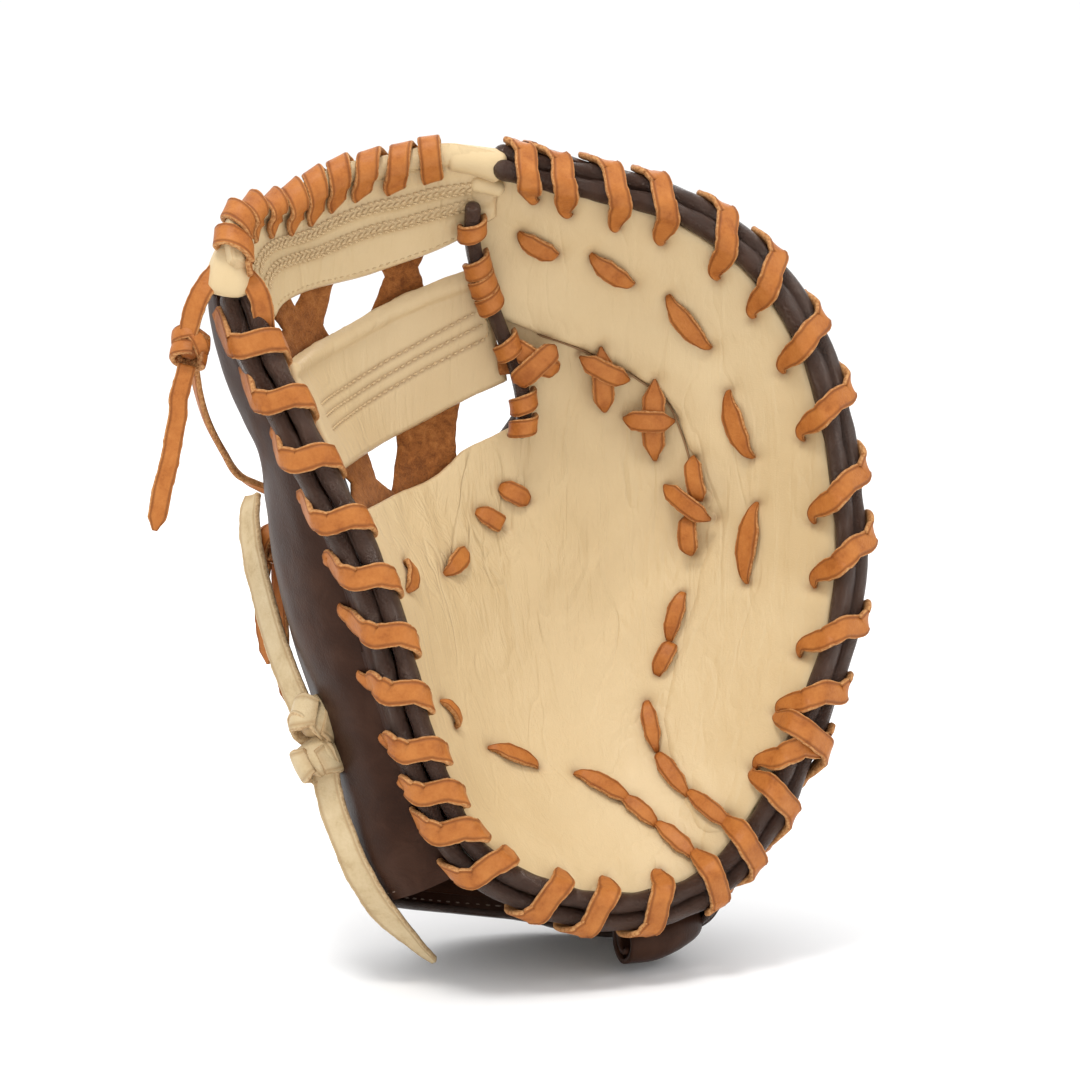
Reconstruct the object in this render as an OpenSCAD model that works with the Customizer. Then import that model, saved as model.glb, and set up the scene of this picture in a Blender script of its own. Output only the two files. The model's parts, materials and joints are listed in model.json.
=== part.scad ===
// First base mitt for the left hand, standing on its heel with the pocket to the front.
// Soft leather shells are closed solids swept from smooth nets of points.
// Everything is drawn in the mitt's own frame and then leaned and turned by stand():
// +X runs from the thumb to the fingers, +Y from the pocket to the back, +Z from heel to web.

/* [Mitt] */
// Width of the palm opening at mid height
palm_w = 182; // [150:1:215]
// Height of the palm from the heel to the top of the web
palm_h = 290; // [240:1:340]
// Depth of the pocket behind the rim
pocket_d = 70; // [55:1:85]

/* [Leather] */
// Thickness of the palm and flap leather
palm_t = 2.4; // [1.6:0.1:3.2]
// Thickness of the back leather
back_t = 2.4; // [1.6:0.1:3.2]
// Thickness of the soft lining
lining_t = 1.2; // [0.8:0.1:1.6]
// Thickness of a web bar, two leathers sewn together
web_t = 5; // [3:0.1:6]
// Thickness of the suede web posts
post_t = 2.5; // [1.5:0.1:3]
// Clearance between neighbouring layers
layer_gap = 0.4; // [0.3:0.05:0.8]

/* [Padding] */
// Thickness of the felt pads behind the palm
pad_t = 7; // [4:0.5:9]
// Thickness of the heel pads
heel_pad_t = 10; // [6:0.5:12]

/* [Rim] */
// Diameter of one rolled rim welt
welt_d = 8; // [6:0.1:9]
// Diameter of the slim welt along the web side of the fingers
edge_welt_d = 6; // [4:0.1:7]

/* [Lacing] */
// Width of the rawhide lace
lace_w = 9; // [6:0.5:10]
// Thickness of the rawhide lace
lace_t = 2.6; // [1.8:0.1:3]
// Width of a hanging lace tail
tail_w = 7; // [5:0.5:8]
// Width of the pale wrist lace
wrist_lace_w = 12; // [8:0.5:14]
// Thickness of the pale wrist lace
wrist_lace_t = 3; // [2:0.1:4]

/* [Fold] */
// Angle through which the thumb side folds shut
fold_range = 20; // [10:1:24]
// Lean of the fold line towards the thumb
fold_lean = 15; // [12:0.5:18]
// Clearance left at the fold line
fold_gap = 0.8; // [0.5:0.1:2]

/* [Stance] */
// Backward lean of the standing mitt
lean = 14; // [0:1:20]
// Turn of the pocket away from straight ahead
turn = 20; // [0:1:30]

/* [Hidden] */

cream = "#e6cb98";
tan = "#c8783a";
suede = "#96551f";
dark = "#3c2a26";
felt = "#b9b2a6";

// Sizes that the outline lists below are drawn at; size_by stretches them to the mitt's own sizes
drawn_w = 182;
drawn_h = 290;
drawn_d = 70;
size_by = [palm_w / drawn_w, pocket_d / drawn_d, palm_h / drawn_h];

// Radius and depth of the rim at every 15 degrees, from the little finger side anticlockwise
rim_radius = [91, 94, 102, 116, 130, 140, 147, 170, 190, 186, 136, 104,
              90, 87, 91, 99, 112, 117, 121, 120, 109, 97, 91, 90];
rim_depth = [70, 72, 74, 74, 73, 70, 68, 63, 58, 66, 72, 72,
             70, 67, 62, 56, 50, 46, 44, 46, 51, 57, 62, 66];
// Power of the pocket's profile: 1 is a cone, larger is a flatter floor
bowl_power = 2.4;

// Fold line: X where it crosses half height, and its depth behind the palm leather
fold_x = -43;
fold_y = 2;
fold_half = tan(fold_range / 2);

// Place of the pocket's floor above and behind the spot that the mitt stands on
stand_at = [7.2, 28.6, 143.95];

// ---- smooth curves and surfaces

function wrap(a) = a - 360 * floor(a / 360);
function unit(v) = v / max(norm(v), 0.000001);
function mix(a, b, u) = a * (1 - u) + b * u;
function sized(p) = [p.x * size_by.x, p.y * size_by.y, p.z * size_by.z];

// Height of a lace's middle above what it lies on
over = lace_t / 2 + layer_gap;

// Catmull-Rom blend of four neighbours
function blend4(a, b, c, d, u) =
    0.5 * (2 * b + (c - a) * u + (2 * a - 5 * b + 4 * c - d) * u * u
        + (3 * b - a - 3 * c + d) * u * u * u);

// Value of a closed list at an angle
function around(list, a) =
    let(n = len(list), q = wrap(a) / 360 * n, i = floor(q))
    blend4(list[(i + n - 1) % n], list[i % n], list[(i + 1) % n], list[(i + 2) % n], q - i);

// Value of an open list at u from 0 to 1
function along(list, u) =
    let(n = len(list) - 1, q = min(max(u, 0), 1) * n, i = min(floor(q), n - 1))
    blend4(list[max(i - 1, 0)], list[i], list[i + 1], list[min(i + 2, n)], q - i);

// Point of a net, a list of rows, at u down the rows and v along a row
function on_net(net, u, v) = along([for (row = net) along(row, v)], u);

function steps(n) = [for (i = [0:n]) i / n];

// ---- the pocket, in drawn sizes

function rim_r(a) = around(rim_radius, a);
function rim(a) = [rim_r(a) * cos(a), -around(rim_depth, a), rim_r(a) * sin(a)];
function bowl_y(x, z) =
    let(a = atan2(z, x)) -around(rim_depth, a) * pow(norm([x, z]) / rim_r(a), bowl_power);
function bowl(p) = sized([p[0], bowl_y(p[0], p[1]), p[1]]);
function polar(a, s) = [rim_r(a) * cos(a) * s, rim_r(a) * sin(a) * s];
// Unit direction out of the rim, in the plane of the opening
function rim_out(a) =
    let(t = rim(a + 1) - rim(a - 1)) unit([t.z, 0, -t.x]);
// Point beside the rim, in real sizes
function by_rim(a, out, back) = sized(rim(a)) + out * rim_out(a) + [0, back, 0];
// Unit direction out of the pocket's back, at a point of the bowl
function bowl_back(p) =
    let(
        du = bowl([p[0], p[1] + 1]) - bowl([p[0], p[1] - 1]),
        dv = bowl([p[0] + 1, p[1]]) - bowl([p[0] - 1, p[1]])
    )
    unit(cross(du, dv));
function off_bowl(p, d) = bowl(p) + bowl_back(p) * d;

// X of the fold line at a height, and the room on each side of it for the fold to close
function fold_at(z) = fold_x - z * tan(fold_lean);
function fold_room(z) =
    (fold_gap / 2 + (fold_y - bowl_y(fold_at(z), z)) * fold_half) / cos(fold_lean);
function thumb_fold(z) = [fold_at(z) - fold_room(z), z];
function finger_fold(z) = [fold_at(z) + fold_room(z), z];

// ---- solids

module quads_to_solid(points, quads, caps) {
    polyhedron(
        points = points,
        faces = concat(
            [for (q = quads) [q[0], q[1], q[2]]],
            [for (q = quads) [q[0], q[2], q[3]]],
            caps
        ),
        convexity = 6
    );
}

function grid_normal(g, i, j) =
    let(
        last_i = len(g) - 1,
        last_j = len(g[0]) - 1,
        along_i = g[min(i + 1, last_i)][j] - g[max(i - 1, 0)][j],
        along_j = g[i][min(j + 1, last_j)] - g[i][max(j - 1, 0)]
    )
    unit(cross(along_i, along_j));

// Closed sheet between two offsets of a grid of points
module sheet(g, from, to) {
    ni = len(g);
    nj = len(g[0]);
    count = ni * nj;
    layers = [for (d = [from, to]) for (i = [0:ni - 1]) for (j = [0:nj - 1])
        g[i][j] + grid_normal(g, i, j) * d];
    front = [for (i = [0:ni - 2]) for (j = [0:nj - 2])
        [i * nj + j, (i + 1) * nj + j, (i + 1) * nj + j + 1, i * nj + j + 1]];
    back = [for (q = front) [q[0] + count, q[3] + count, q[2] + count, q[1] + count]];
    sides = concat(
        [for (j = [0:nj - 2]) [j, j + 1]],
        [for (i = [0:ni - 2]) [i * nj + nj - 1, (i + 1) * nj + nj - 1]],
        [for (j = [0:nj - 2]) [ni * nj - 1 - j, ni * nj - 2 - j]],
        [for (i = [0:ni - 2]) [(ni - 1 - i) * nj, (ni - 2 - i) * nj]]
    );
    walls = [for (e = sides) [e[0], e[1], e[1] + count, e[0] + count]];
    quads_to_solid(layers, concat(front, back, walls), []);
}

// Closed solid through a list of rings with equal numbers of points
module through_rings(rings) {
    n = len(rings[0]);
    last = len(rings) - 1;
    points = [for (r = rings) for (p = r) p];
    quads = [for (i = [0:last - 1]) for (k = [0:n - 1])
        [i * n + k, (i + 1) * n + k, (i + 1) * n + (k + 1) % n, i * n + (k + 1) % n]];
    start_cap = [for (k = [1:n - 2]) [0, k, k + 1]];
    end_cap = [for (k = [1:n - 2]) [last * n, last * n + k + 1, last * n + k]];
    quads_to_solid(points, quads, concat(start_cap, end_cap));
}

function path_dir(path, i) =
    unit(path[min(i + 1, len(path) - 1)] - path[max(i - 1, 0)]);

// Oval ring about a path point: w wide across, t thick along the face direction
function oval(path, i, face, w, t, sides) =
    let(d = path_dir(path, i), across = unit(cross(d, face)), up = unit(cross(across, d)))
    [for (k = [0:sides - 1]) let(q = 360 * (k + 0.5) / sides)
        path[i] + across * cos(q) * w / 2 - up * sin(q) * t / 2];

// Round or flattened cord along a path; faces gives the flat side's direction at each point
module cord(path, faces, w, t, sides = 8) {
    through_rings([for (i = [0:len(path) - 1]) oval(path, i, faces[i], w, t, sides)]);
}

// Flat lace along a path, square in section
module lace(path, faces, w = lace_w, t = lace_t) {
    through_rings([for (i = [0:len(path) - 1]) oval(path, i, faces[i], w * sqrt(2), t * sqrt(2), 4)]);
}

function smooth_path(list, n) = [for (u = steps(n)) along(list, u)];
function same(v, path) = [for (p = path) v];

module stand() {
    translate(stand_at) rotate([-lean, 0, turn]) children();
}

// ---- palm leather

// Height on the fold line and angle on the rim that each row of the thumb palm joins
thumb_palm_rows = [[-113, 256], [-92, 238], [-64, 224], [-34, 208], [-4, 190], [24, 174], [44, 162]];
function thumb_palm(u, v) =
    let(row = along(thumb_palm_rows, u))
    mix(polar(row[1], 1), thumb_fold(row[0]), v);

// Left and right ends of each row of the finger palm: the fold line or web edge, and the flap seam
finger_palm_left = [finger_fold(-113), finger_fold(-90), finger_fold(-60), finger_fold(-30),
    finger_fold(0), finger_fold(25), finger_fold(44), [-38, 54], [-18, 66], [-15, 82], [-20, 98]];
flap_seam = [[37, -110], [34, -84], [33, -56], [41, -32], [51, -8], [56, 20], [55, 48],
    [47, 71], [34, 83], [14, 93], [-6, 101], [-22, 108]];
// Width of palm leather that runs on under the flap
seam_lap = 3.5;
function seam_at(u) = along([for (i = [0:10]) flap_seam[i]], u);
function finger_palm(u, v) =
    let(right = seam_at(u), left = along(finger_palm_left, u))
    mix(left, right + unit(right - left) * seam_lap, v);

// Angle on the rim that each row of the flap joins
flap_angles = [297, 306, 318, 331, 345, 360, 375, 390, 405, 420, 436, 448, 459];
flap_inner = [[36, -96], [34, -76], [34, -55], [41, -32], [50, -10], [55, 10], [56, 34],
    [54, 54], [47, 71], [34, 83], [14, 93], [-6, 101], [-24, 110]];
function flap(u, v) = mix(along(flap_inner, u), polar(along(flap_angles, u), 1), v);

module palm_thumb_panel() {
    color(cream) stand()
        sheet([for (u = steps(12)) [for (v = steps(8)) bowl(thumb_palm(u, v))]], 0, palm_t);
}

module palm_finger_panel() {
    color(cream) stand()
        sheet([for (u = steps(16)) [for (v = steps(8)) bowl(finger_palm(u, v))]], 0, palm_t);
}

// The flap lies over the palm's edge along its seam and drops to the palm's level beside it
flap_step = palm_t + layer_gap;
// Shares of the flap's width over which it drops
flap_drop = [0.24, 0.36];
function flap_rise(v) =
    flap_step * min(max((flap_drop[1] - v) / (flap_drop[1] - flap_drop[0]), 0), 1);
module finger_flap_panel() {
    color(cream) stand()
        sheet([for (u = steps(24)) [for (v = steps(8)) off_bowl(flap(u, v), -flap_rise(v))]], 0, palm_t);
}

// Strip of palm leather that runs up the web side of the thumb
module thumb_inner_panel() {
    color(cream) stand()
        sheet([for (a = [158:-2:140]) [for (s = [1, 0.97, 0.94]) bowl(polar(a, s))]], 0, palm_t);
}

// ---- back leather: each row of the net runs round the outside at one height

// Rows from the wrist to the thumb tip; each runs from the rim to the fold line
thumb_back_net = [
    [[-58, -43, -105], [-76, -28, -112], [-83, -8, -116], [-72, 24, -119], [-42, 43, -125], [-12, 44, -131]],
    [[-68, -44, -92], [-86, -34, -96], [-92, -14, -98], [-84, 20, -98], [-54, 41, -101], [-19, 44, -104]],
    [[-79, -49, -73], [-92, -40, -72], [-97, -18, -70], [-89, 18, -70], [-60, 38, -72], [-27, 41, -74]],
    [[-90, -55, -46], [-101, -44, -42], [-104, -20, -38], [-95, 14, -38], [-66, 33, -40], [-35, 36, -42]],
    [[-98, -59, -18], [-109, -46, -12], [-113, -22, -8], [-103, 9, -8], [-74, 28, -8], [-43, 32, -10]],
    [[-104, -62, 7], [-114, -50, 14], [-118, -24, 18], [-108, 3, 18], [-82, 20, 16], [-50, 26, 14]],
    [[-113, -65, 32], [-119, -53, 38], [-121, -30, 42], [-113, -6, 40], [-97, 0, 35], [-80, -4, 30]],
    [[-121, -66, 54], [-125, -56, 58], [-126, -38, 60], [-119, -24, 58], [-108, -28, 54], [-101, -44, 50]],
    [[-130, -66, 77], [-134, -58, 80], [-136, -42, 82], [-128, -30, 80], [-118, -34, 76], [-113, -50, 72]],
    [[-140, -63, 102], [-142, -56, 104], [-142, -44, 106], [-135, -36, 104], [-127, -40, 100], [-123, -52, 97]],
    [[-143, -60, 118], [-144, -56, 120], [-143, -49, 121], [-139, -45, 120], [-134, -48, 118], [-131, -54, 116]]
];
// Rows from the wrist to the index fingertip; each runs from the fold line or web side to the rim
finger_back_net = [
    [[-5, 43, -133], [14, 32, -139], [31, 14, -141], [42, -6, -139], [46, -24, -132], [40, -38, -124]],
    [[-10, 44, -105], [22, 41, -106], [52, 28, -105], [67, 0, -104], [70, -30, -102], [66, -42, -101]],
    [[-18, 41, -76], [30, 39, -76], [68, 25, -75], [82, -4, -75], [84, -36, -76], [79, -49, -77]],
    [[-27, 37, -46], [38, 35, -46], [80, 21, -46], [95, -8, -47], [97, -40, -49], [91, -55, -51]],
    [[-34, 34, -18], [44, 32, -18], [88, 16, -18], [104, -12, -20], [106, -44, -22], [100, -59, -26]],
    [[-42, 30, 8], [48, 28, 8], [92, 12, 6], [108, -16, 5], [110, -48, 3], [104, -63, 0]],
    [[-46, 24, 30], [48, 24, 34], [92, 8, 33], [108, -18, 32], [110, -50, 30], [104, -65, 26]],
    [[-14, 14, 60], [48, 16, 62], [88, 3, 62], [104, -20, 62], [106, -52, 60], [100, -67, 57]],
    [[0, 4, 82], [46, 7, 88], [80, -5, 94], [95, -26, 97], [97, -54, 95], [92, -67, 92]],
    [[-2, -8, 98], [36, -5, 112], [62, -13, 122], [74, -30, 128], [76, -54, 128], [73, -66, 125]],
    [[-9, -18, 113], [18, -17, 129], [34, -24, 143], [42, -37, 151], [43, -54, 151], [41, -63, 148]],
    [[-21, -30, 129], [-12, -28, 144], [-4, -32, 156], [0, -42, 162], [0, -54, 163], [0, -61, 161]],
    [[-36, -44, 143], [-32, -40, 153], [-28, -41, 161], [-26, -47, 167], [-25, -54, 168], [-25, -59, 167]]
];

module shell_of(net, nu, nv, u_range, v_range, from, to) {
    sheet(
        [for (u = steps(nu)) [for (v = steps(nv))
            sized(on_net(net, mix(u_range[0], u_range[1], u), mix(v_range[0], v_range[1], v)))]],
        from, to
    );
}

// Point beside a back panel's net, d out of its leather
function off_net(net, u, v, d) =
    let(
        du = sized(on_net(net, u + 0.01, v)) - sized(on_net(net, u - 0.01, v)),
        dv = sized(on_net(net, u, v + 0.01)) - sized(on_net(net, u, v - 0.01))
    )
    sized(on_net(net, u, v)) + unit(cross(du, dv)) * d;
// Point on the outside of the thumb's back leather where a lace comes out
function thumb_seat(u, v) = off_net(thumb_back_net, u, v, back_t + layer_gap * 1.5);

module thumb_back_panel() {
    color(dark) stand() shell_of(thumb_back_net, 18, 12, [0, 1], [0, 1], 0, back_t);
}

module finger_back_panel() {
    color(dark) stand() shell_of(finger_back_net, 20, 12, [0, 1], [0, 1], 0, back_t);
}

// Soft linings inside the back panels, with room for the leather to bend
lining_gap = layer_gap * 3;
module thumb_lining() {
    color(felt) stand()
        shell_of(thumb_back_net, 14, 10, [0.04, 0.5], [0.2, 0.94], -lining_gap - lining_t, -lining_gap);
}

module finger_lining() {
    color(felt) stand()
        shell_of(finger_back_net, 16, 10, [0.04, 0.75], [0.06, 0.8], -lining_gap - lining_t, -lining_gap);
}

// ---- pads between the palm leather and the hand

pad_from = palm_t + layer_gap;

module thumb_pad() {
    color(felt) stand()
        sheet([for (u = steps(8)) [for (v = steps(4))
            bowl(thumb_palm(mix(0.3, 0.86, u), mix(0.08, 0.5, v)))]],
            pad_from, pad_from + pad_t);
}

module heel_pad_thumb() {
    color(felt) stand()
        sheet([for (u = steps(4)) [for (v = steps(4))
            bowl(thumb_palm(mix(0.1, 0.26, u), mix(0.12, 0.86, v)))]],
            pad_from, pad_from + heel_pad_t);
}

module heel_pad_finger() {
    color(felt) stand()
        sheet([for (u = steps(4)) [for (v = steps(4))
            bowl(finger_palm(mix(0.06, 0.2, u), mix(0.16, 0.9, v)))]],
            pad_from, pad_from + heel_pad_t);
}

module finger_pad() {
    color(felt) stand()
        sheet([for (u = steps(16)) [for (v = steps(4)) bowl(flap(mix(0.14, 0.86, u), mix(0.22, 0.9, v)))]],
            pad_from, pad_from + pad_t);
}

// Rolled leather bead along the fold, behind the palm, that both halves of the palm lining bend round
bead_d = 6;
bead_top = 24;
bead_bottom = -98;
function fold_point(z) = sized([fold_at(z), fold_y, z]);
module fold_bead() {
    path = [for (u = steps(10)) fold_point(mix(bead_bottom, bead_top, u))];
    color(dark) stand() cord(path, same([0, -1, 0], path), bead_d, bead_d);
}

// Lining behind the pads; side is -1 towards the thumb and 1 towards the fingers
lining_from = pad_from + heel_pad_t + layer_gap * 2;
// Distance from the bead's middle to the hem of each half; the finger half turns in a little at its hem
bead_reach = [bead_d / 2 + layer_gap * 1.9, bead_d / 2 + layer_gap * 2.6];
function bead_side(z, side) =
    fold_point(z) + [side * bead_reach[side < 0 ? 0 : 1], -lining_t / 2, 0];
function lining_point(p, z, share, side) =
    mix(off_bowl(p, lining_from), bead_side(z, side), min(max(share, 0), 1));

module palm_lining_thumb() {
    color(felt) stand() sheet(
        [for (u = steps(8)) let(row = mix(0.12, 0.78, u)) [for (v = steps(8))
            lining_point(thumb_palm(row, mix(0.2, 1, v)), along(thumb_palm_rows, row)[0], v * 4 - 3, -1)]],
        0, lining_t
    );
}

module palm_lining_finger() {
    color(felt) stand() sheet(
        [for (u = steps(8)) let(row = mix(0.1, 0.46, u)) [for (v = steps(8))
            lining_point(finger_palm(row, mix(0, 0.95, v)), along(finger_palm_left, row)[1], 1 - v * 4, 1)]],
        0, lining_t
    );
}

// ---- loops inside that hold the thumb and the little finger

// Ring of leather round a digit: centre, long half width, short half width
module digit_loop(centre, half_w, half_d) {
    path = [for (q = [0:30:330]) centre + [half_w * cos(q), half_d * sin(q), 0]];
    n = len(path);
    inner = [for (q = [0:30:330]) centre + [(half_w - lining_t) * cos(q), (half_d - lining_t) * sin(q), 0]];
    rise = [0, 0, lace_w];
    points = concat(path, inner, [for (p = path) p + rise], [for (p = inner) p + rise]);
    quads = [for (k = [0:n - 1]) let(m = (k + 1) % n) each [
        [k, k + 2 * n, m + 2 * n, m],
        [k + n, m + n, m + 3 * n, k + 3 * n],
        [k, m, m + n, k + n],
        [k + 2 * n, k + 3 * n, m + 3 * n, m + 2 * n]]];
    quads_to_solid(points, quads, []);
}

module thumb_loop() {
    color(tan) stand() digit_loop(sized([-88, -12, -30]), 14, 13);
}

module little_finger_loop() {
    color(tan) stand() digit_loop(sized([82, -6, -30]), 14, 13);
}

// ---- rim welts

welt_r = welt_d / 2;
// Places of the two rim welts beside the palm's edge: outwards and back
inner_welt = [welt_r * 0.5 + palm_t / 2, -welt_r - 0.3];
// Step from one welt's middle to the other's, as shares of a welt's diameter
welt_step = [0.88, 0.5];
outer_welt = inner_welt + welt_d * welt_step;
// Rim angles where the welts start and stop: thumb tip, fold and index fingertip
thumb_tip_a = 140;
thumb_fold_a = 257;
finger_fold_a = 269;
finger_tip_a = 461;

module rim_welt(a_from, a_to, place, n) {
    path = [for (u = steps(n)) by_rim(mix(a_from, a_to, u), place[0], place[1])];
    cord(path, same([0, -1, 0], path), welt_d, welt_d);
}

module thumb_welt_inner() {
    color(dark) stand() rim_welt(thumb_tip_a, thumb_fold_a, inner_welt, 34);
}

module thumb_welt_outer() {
    color(dark) stand() rim_welt(thumb_tip_a, thumb_fold_a, outer_welt, 34);
}

module finger_welt_inner() {
    color(dark) stand() rim_welt(finger_fold_a, finger_tip_a, inner_welt, 44);
}

module finger_welt_outer() {
    color(dark) stand() rim_welt(finger_fold_a, finger_tip_a, outer_welt, 44);
}

// Slim welt along the web side of the index finger
edge_line = [[-37, 150], [-37, 138], [-32, 125], [-26, 113], [-20, 101], [-14, 88], [-10, 74], [-9, 64]];
edge_lift = -flap_step - layer_gap - edge_welt_d / 2;
module finger_edge_welt() {
    path = [for (u = steps(14)) off_bowl(along(edge_line, u), edge_lift)];
    color(dark) stand() cord(path, same([0, -1, 0], path), edge_welt_d, edge_welt_d);
}

// ---- rim lacing: each wrap runs from the palm leather over both welts to the back leather

// Shares of the rim's radius at which a wrap leaves its hole in the palm and starts to rise
hole_share = 0.95;
rise_share = 0.975;
// Radius about a welt's middle of the wraps that pass over it
wrap_reach = welt_r + over * 1.45;
// How far a wrap's end on the back leather lies out from the outer welt's wrap, and behind the welt
wrap_end = [2, 5];
// Directions round the two welts that a wrap passes, 180 is towards the pocket and 270 to the front
inner_turns = [195, 220, 247, 275];
outer_turns = [262, 290, 318, 346];

// One wrap from the palm at angle a_in to the outside at angle a_out
module rim_wrap(a_in, a_out) {
    turns = concat(
        [for (q = inner_turns) [inner_welt, q]],
        [for (q = outer_turns) [outer_welt, q]]
    );
    n = len(turns) + 2;
    round_welts = [for (i = [0:len(turns) - 1])
        let(a = mix(a_in, a_out, (i + 2) / n), t = turns[i])
        by_rim(a, t[0][0] + wrap_reach * cos(t[1]), t[0][1] + wrap_reach * sin(t[1]))];
    path = concat(
        [off_bowl(polar(a_in, hole_share), -over),
            off_bowl(polar(mix(a_in, a_out, 1 / n), rise_share), -over * 1.5)],
        round_welts,
        [by_rim(a_out, outer_welt[0] + wrap_reach + wrap_end[0], outer_welt[1] + wrap_end[1])]
    );
    faces = concat(
        [-bowl_back(polar(a_in, hole_share)), -bowl_back(polar(a_in, rise_share))],
        [for (t = turns) rim_out(a_out) * cos(t[1]) + [0, sin(t[1]), 0]],
        [rim_out(a_out)]
    );
    lace(path, faces);
}

// Rim angles of the wraps at the palm and at the outside
thumb_wraps = [[231, 221], [222, 212], [210, 200], [196, 185], [181, 170], [168, 160],
    [158, 152.5], [151, 147], [145.5, 142.5]];
heel_wraps = [[239, 232], [247, 240]];
finger_heel_wraps = [[275, 269], [284, 279]];
finger_wraps = [[291, 297], [302, 308], [313, 320], [326, 333], [339, 348], [355, 364],
    [11, 19], [27, 34], [41, 47], [53, 58], [63, 68], [74, 78], [82.5, 86], [90, 93], [96.5, 99]];

module thumb_rim_lace() {
    color(tan) stand() for (w = thumb_wraps) rim_wrap(w[0], w[1]);
}

module heel_lace() {
    color(tan) stand() for (w = heel_wraps) rim_wrap(w[0], w[1]);
}

module finger_rim_lace() {
    color(tan) stand() for (w = concat(finger_heel_wraps, finger_wraps)) rim_wrap(w[0], w[1]);
}

// ---- running stitches that lie on the pocket

stitch_lift = -layer_gap * 1.6 - lace_t / 2;
seam_lift = stitch_lift - flap_step;

// Flat stitch from one point of the bowl to another, lifted clear of the leather
module stitch(a, b, lift, w = lace_w) {
    path = [for (u = steps(3)) off_bowl(mix(a, b, u), lift)];
    lace(path, [for (u = steps(3)) -bowl_back(mix(a, b, u))], w);
}

palm_stitches_thumb = [[[-72, 13], [-70, 2]], [[-61, -40], [-55, -49]]];
palm_stitches_finger = [[[-17, 42], [-10, 36]], [[-30, 33], [-20, 27]], [[-17, -64], [-3, -70]],
    [[6, -75], [21, -86]]];
flap_stitches = [[[-15, 134], [-5, 130]], [[9, 126], [27, 116]], [[41, 109], [56, 90]],
    [[65, 72], [72, 47]], [[74, 25], [71, -2]]];
crotch_stitches = [[[30, 66], [48, 66]], [[49, 41], [60, 36]]];
crotch_cross = [[[39, 57], [39, 77]], [[53, 26], [57, 50]], [[14, 70], [26, 88]]];

module palm_lace_thumb() {
    color(tan) stand() for (s = palm_stitches_thumb) stitch(s[0], s[1], stitch_lift);
}

module palm_lace_finger() {
    color(tan) stand() for (s = palm_stitches_finger) stitch(s[0], s[1], stitch_lift);
}

module flap_lace() {
    color(tan) stand() for (s = flap_stitches) stitch(s[0], s[1], stitch_lift);
}

module crotch_lace() {
    color(tan) stand() {
        for (s = crotch_cross) stitch(s[0], s[1], seam_lift);
        for (s = crotch_stitches) stitch(s[0], s[1], seam_lift - lace_t - layer_gap);
    }
}

// Wraps over the slim welt on the web side of the index finger: shares of its length, width and reach
edge_wraps = [0.08, 0.22, 0.37, 0.52, 0.76, 0.92];
edge_lace_w = lace_w * 0.8;
edge_reach = edge_welt_d / 2 + over * 1.25;
module finger_edge_lace() {
    color(tan) stand() for (u = edge_wraps) {
        p = along(edge_line, u);
        middle = off_bowl(p, edge_lift);
        front = -bowl_back(p);
        line = unit(
            off_bowl(along(edge_line, u + 0.05), edge_lift) - off_bowl(along(edge_line, u - 0.05), edge_lift));
        side = unit(cross(front, line));
        turns = [0:36:180];
        path = [for (q = turns) middle + edge_reach * (cos(q) * side + sin(q) * front)];
        lace(path, [for (q = turns) cos(q) * side + sin(q) * front], edge_lace_w);
    }
}

// ---- web

// Edges of the top bar as shares of the rim's radius; the lower one dips to its least at the middle angle
top_bar_high = 0.99;
top_bar_mid = 119;
function top_bar_low(a) = 0.77 + 0.0004 * pow(a - top_bar_mid, 2);
module top_bar(a_from, a_to) {
    color(cream) stand()
        sheet([for (s = steps(4)) [for (u = steps(6))
            let(a = mix(a_from, a_to, u)) bowl(polar(a, mix(top_bar_low(a), top_bar_high, s)))]],
            -web_t / 2, web_t / 2);
}

// Rim angles of the top bar's ends, and those between which it is cut away for the fold
web_ends = [137, 105];
web_cut = [121, 113];
module web_top_bar_thumb() {
    top_bar(web_ends[0], web_cut[0]);
}

module web_top_bar_finger() {
    top_bar(web_cut[1], web_ends[1]);
}

// Lower bar: bottom and top edges on each side of the fold
module lower_bar(bottom, top) {
    color(cream) stand()
        sheet([for (s = steps(3)) [for (u = steps(4)) bowl(mix(along(bottom, u), along(top, u), s))]],
            -web_t / 2, web_t / 2);
}

module web_lower_bar_thumb() {
    lower_bar([[-99, 50], [-81, 58], [-64, 65]], [[-112, 91], [-92, 104], [-81, 109]]);
}

module web_lower_bar_finger() {
    lower_bar([[-54, 69], [-37, 77], [-24, 82]], [[-65, 115], [-53, 120], [-42, 123]]);
}

// Suede posts behind the bars, tying bar to bar and the lower bar to the palm
post_from = web_t / 2 + layer_gap;
module web_post(bottom_left, bottom_right, top_left, top_right) {
    sheet([for (s = steps(4)) [for (u = steps(2))
        bowl(mix(mix(bottom_left, bottom_right, u), mix(top_left, top_right, u), s))]],
        post_from, post_from + post_t);
}

module web_post_thumb() {
    color(suede) stand() {
        web_post([-103, 90], [-91, 95], [-113, 117], [-101, 123]);
        web_post([-90, 41], [-79, 43], [-94, 58], [-83, 62]);
    }
}

module web_post_finger() {
    color(suede) stand() {
        web_post([-61, 108], [-47, 113], [-64, 134], [-50, 139]);
        web_post([-49, 42], [-35, 48], [-46, 78], [-32, 84]);
    }
}

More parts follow.
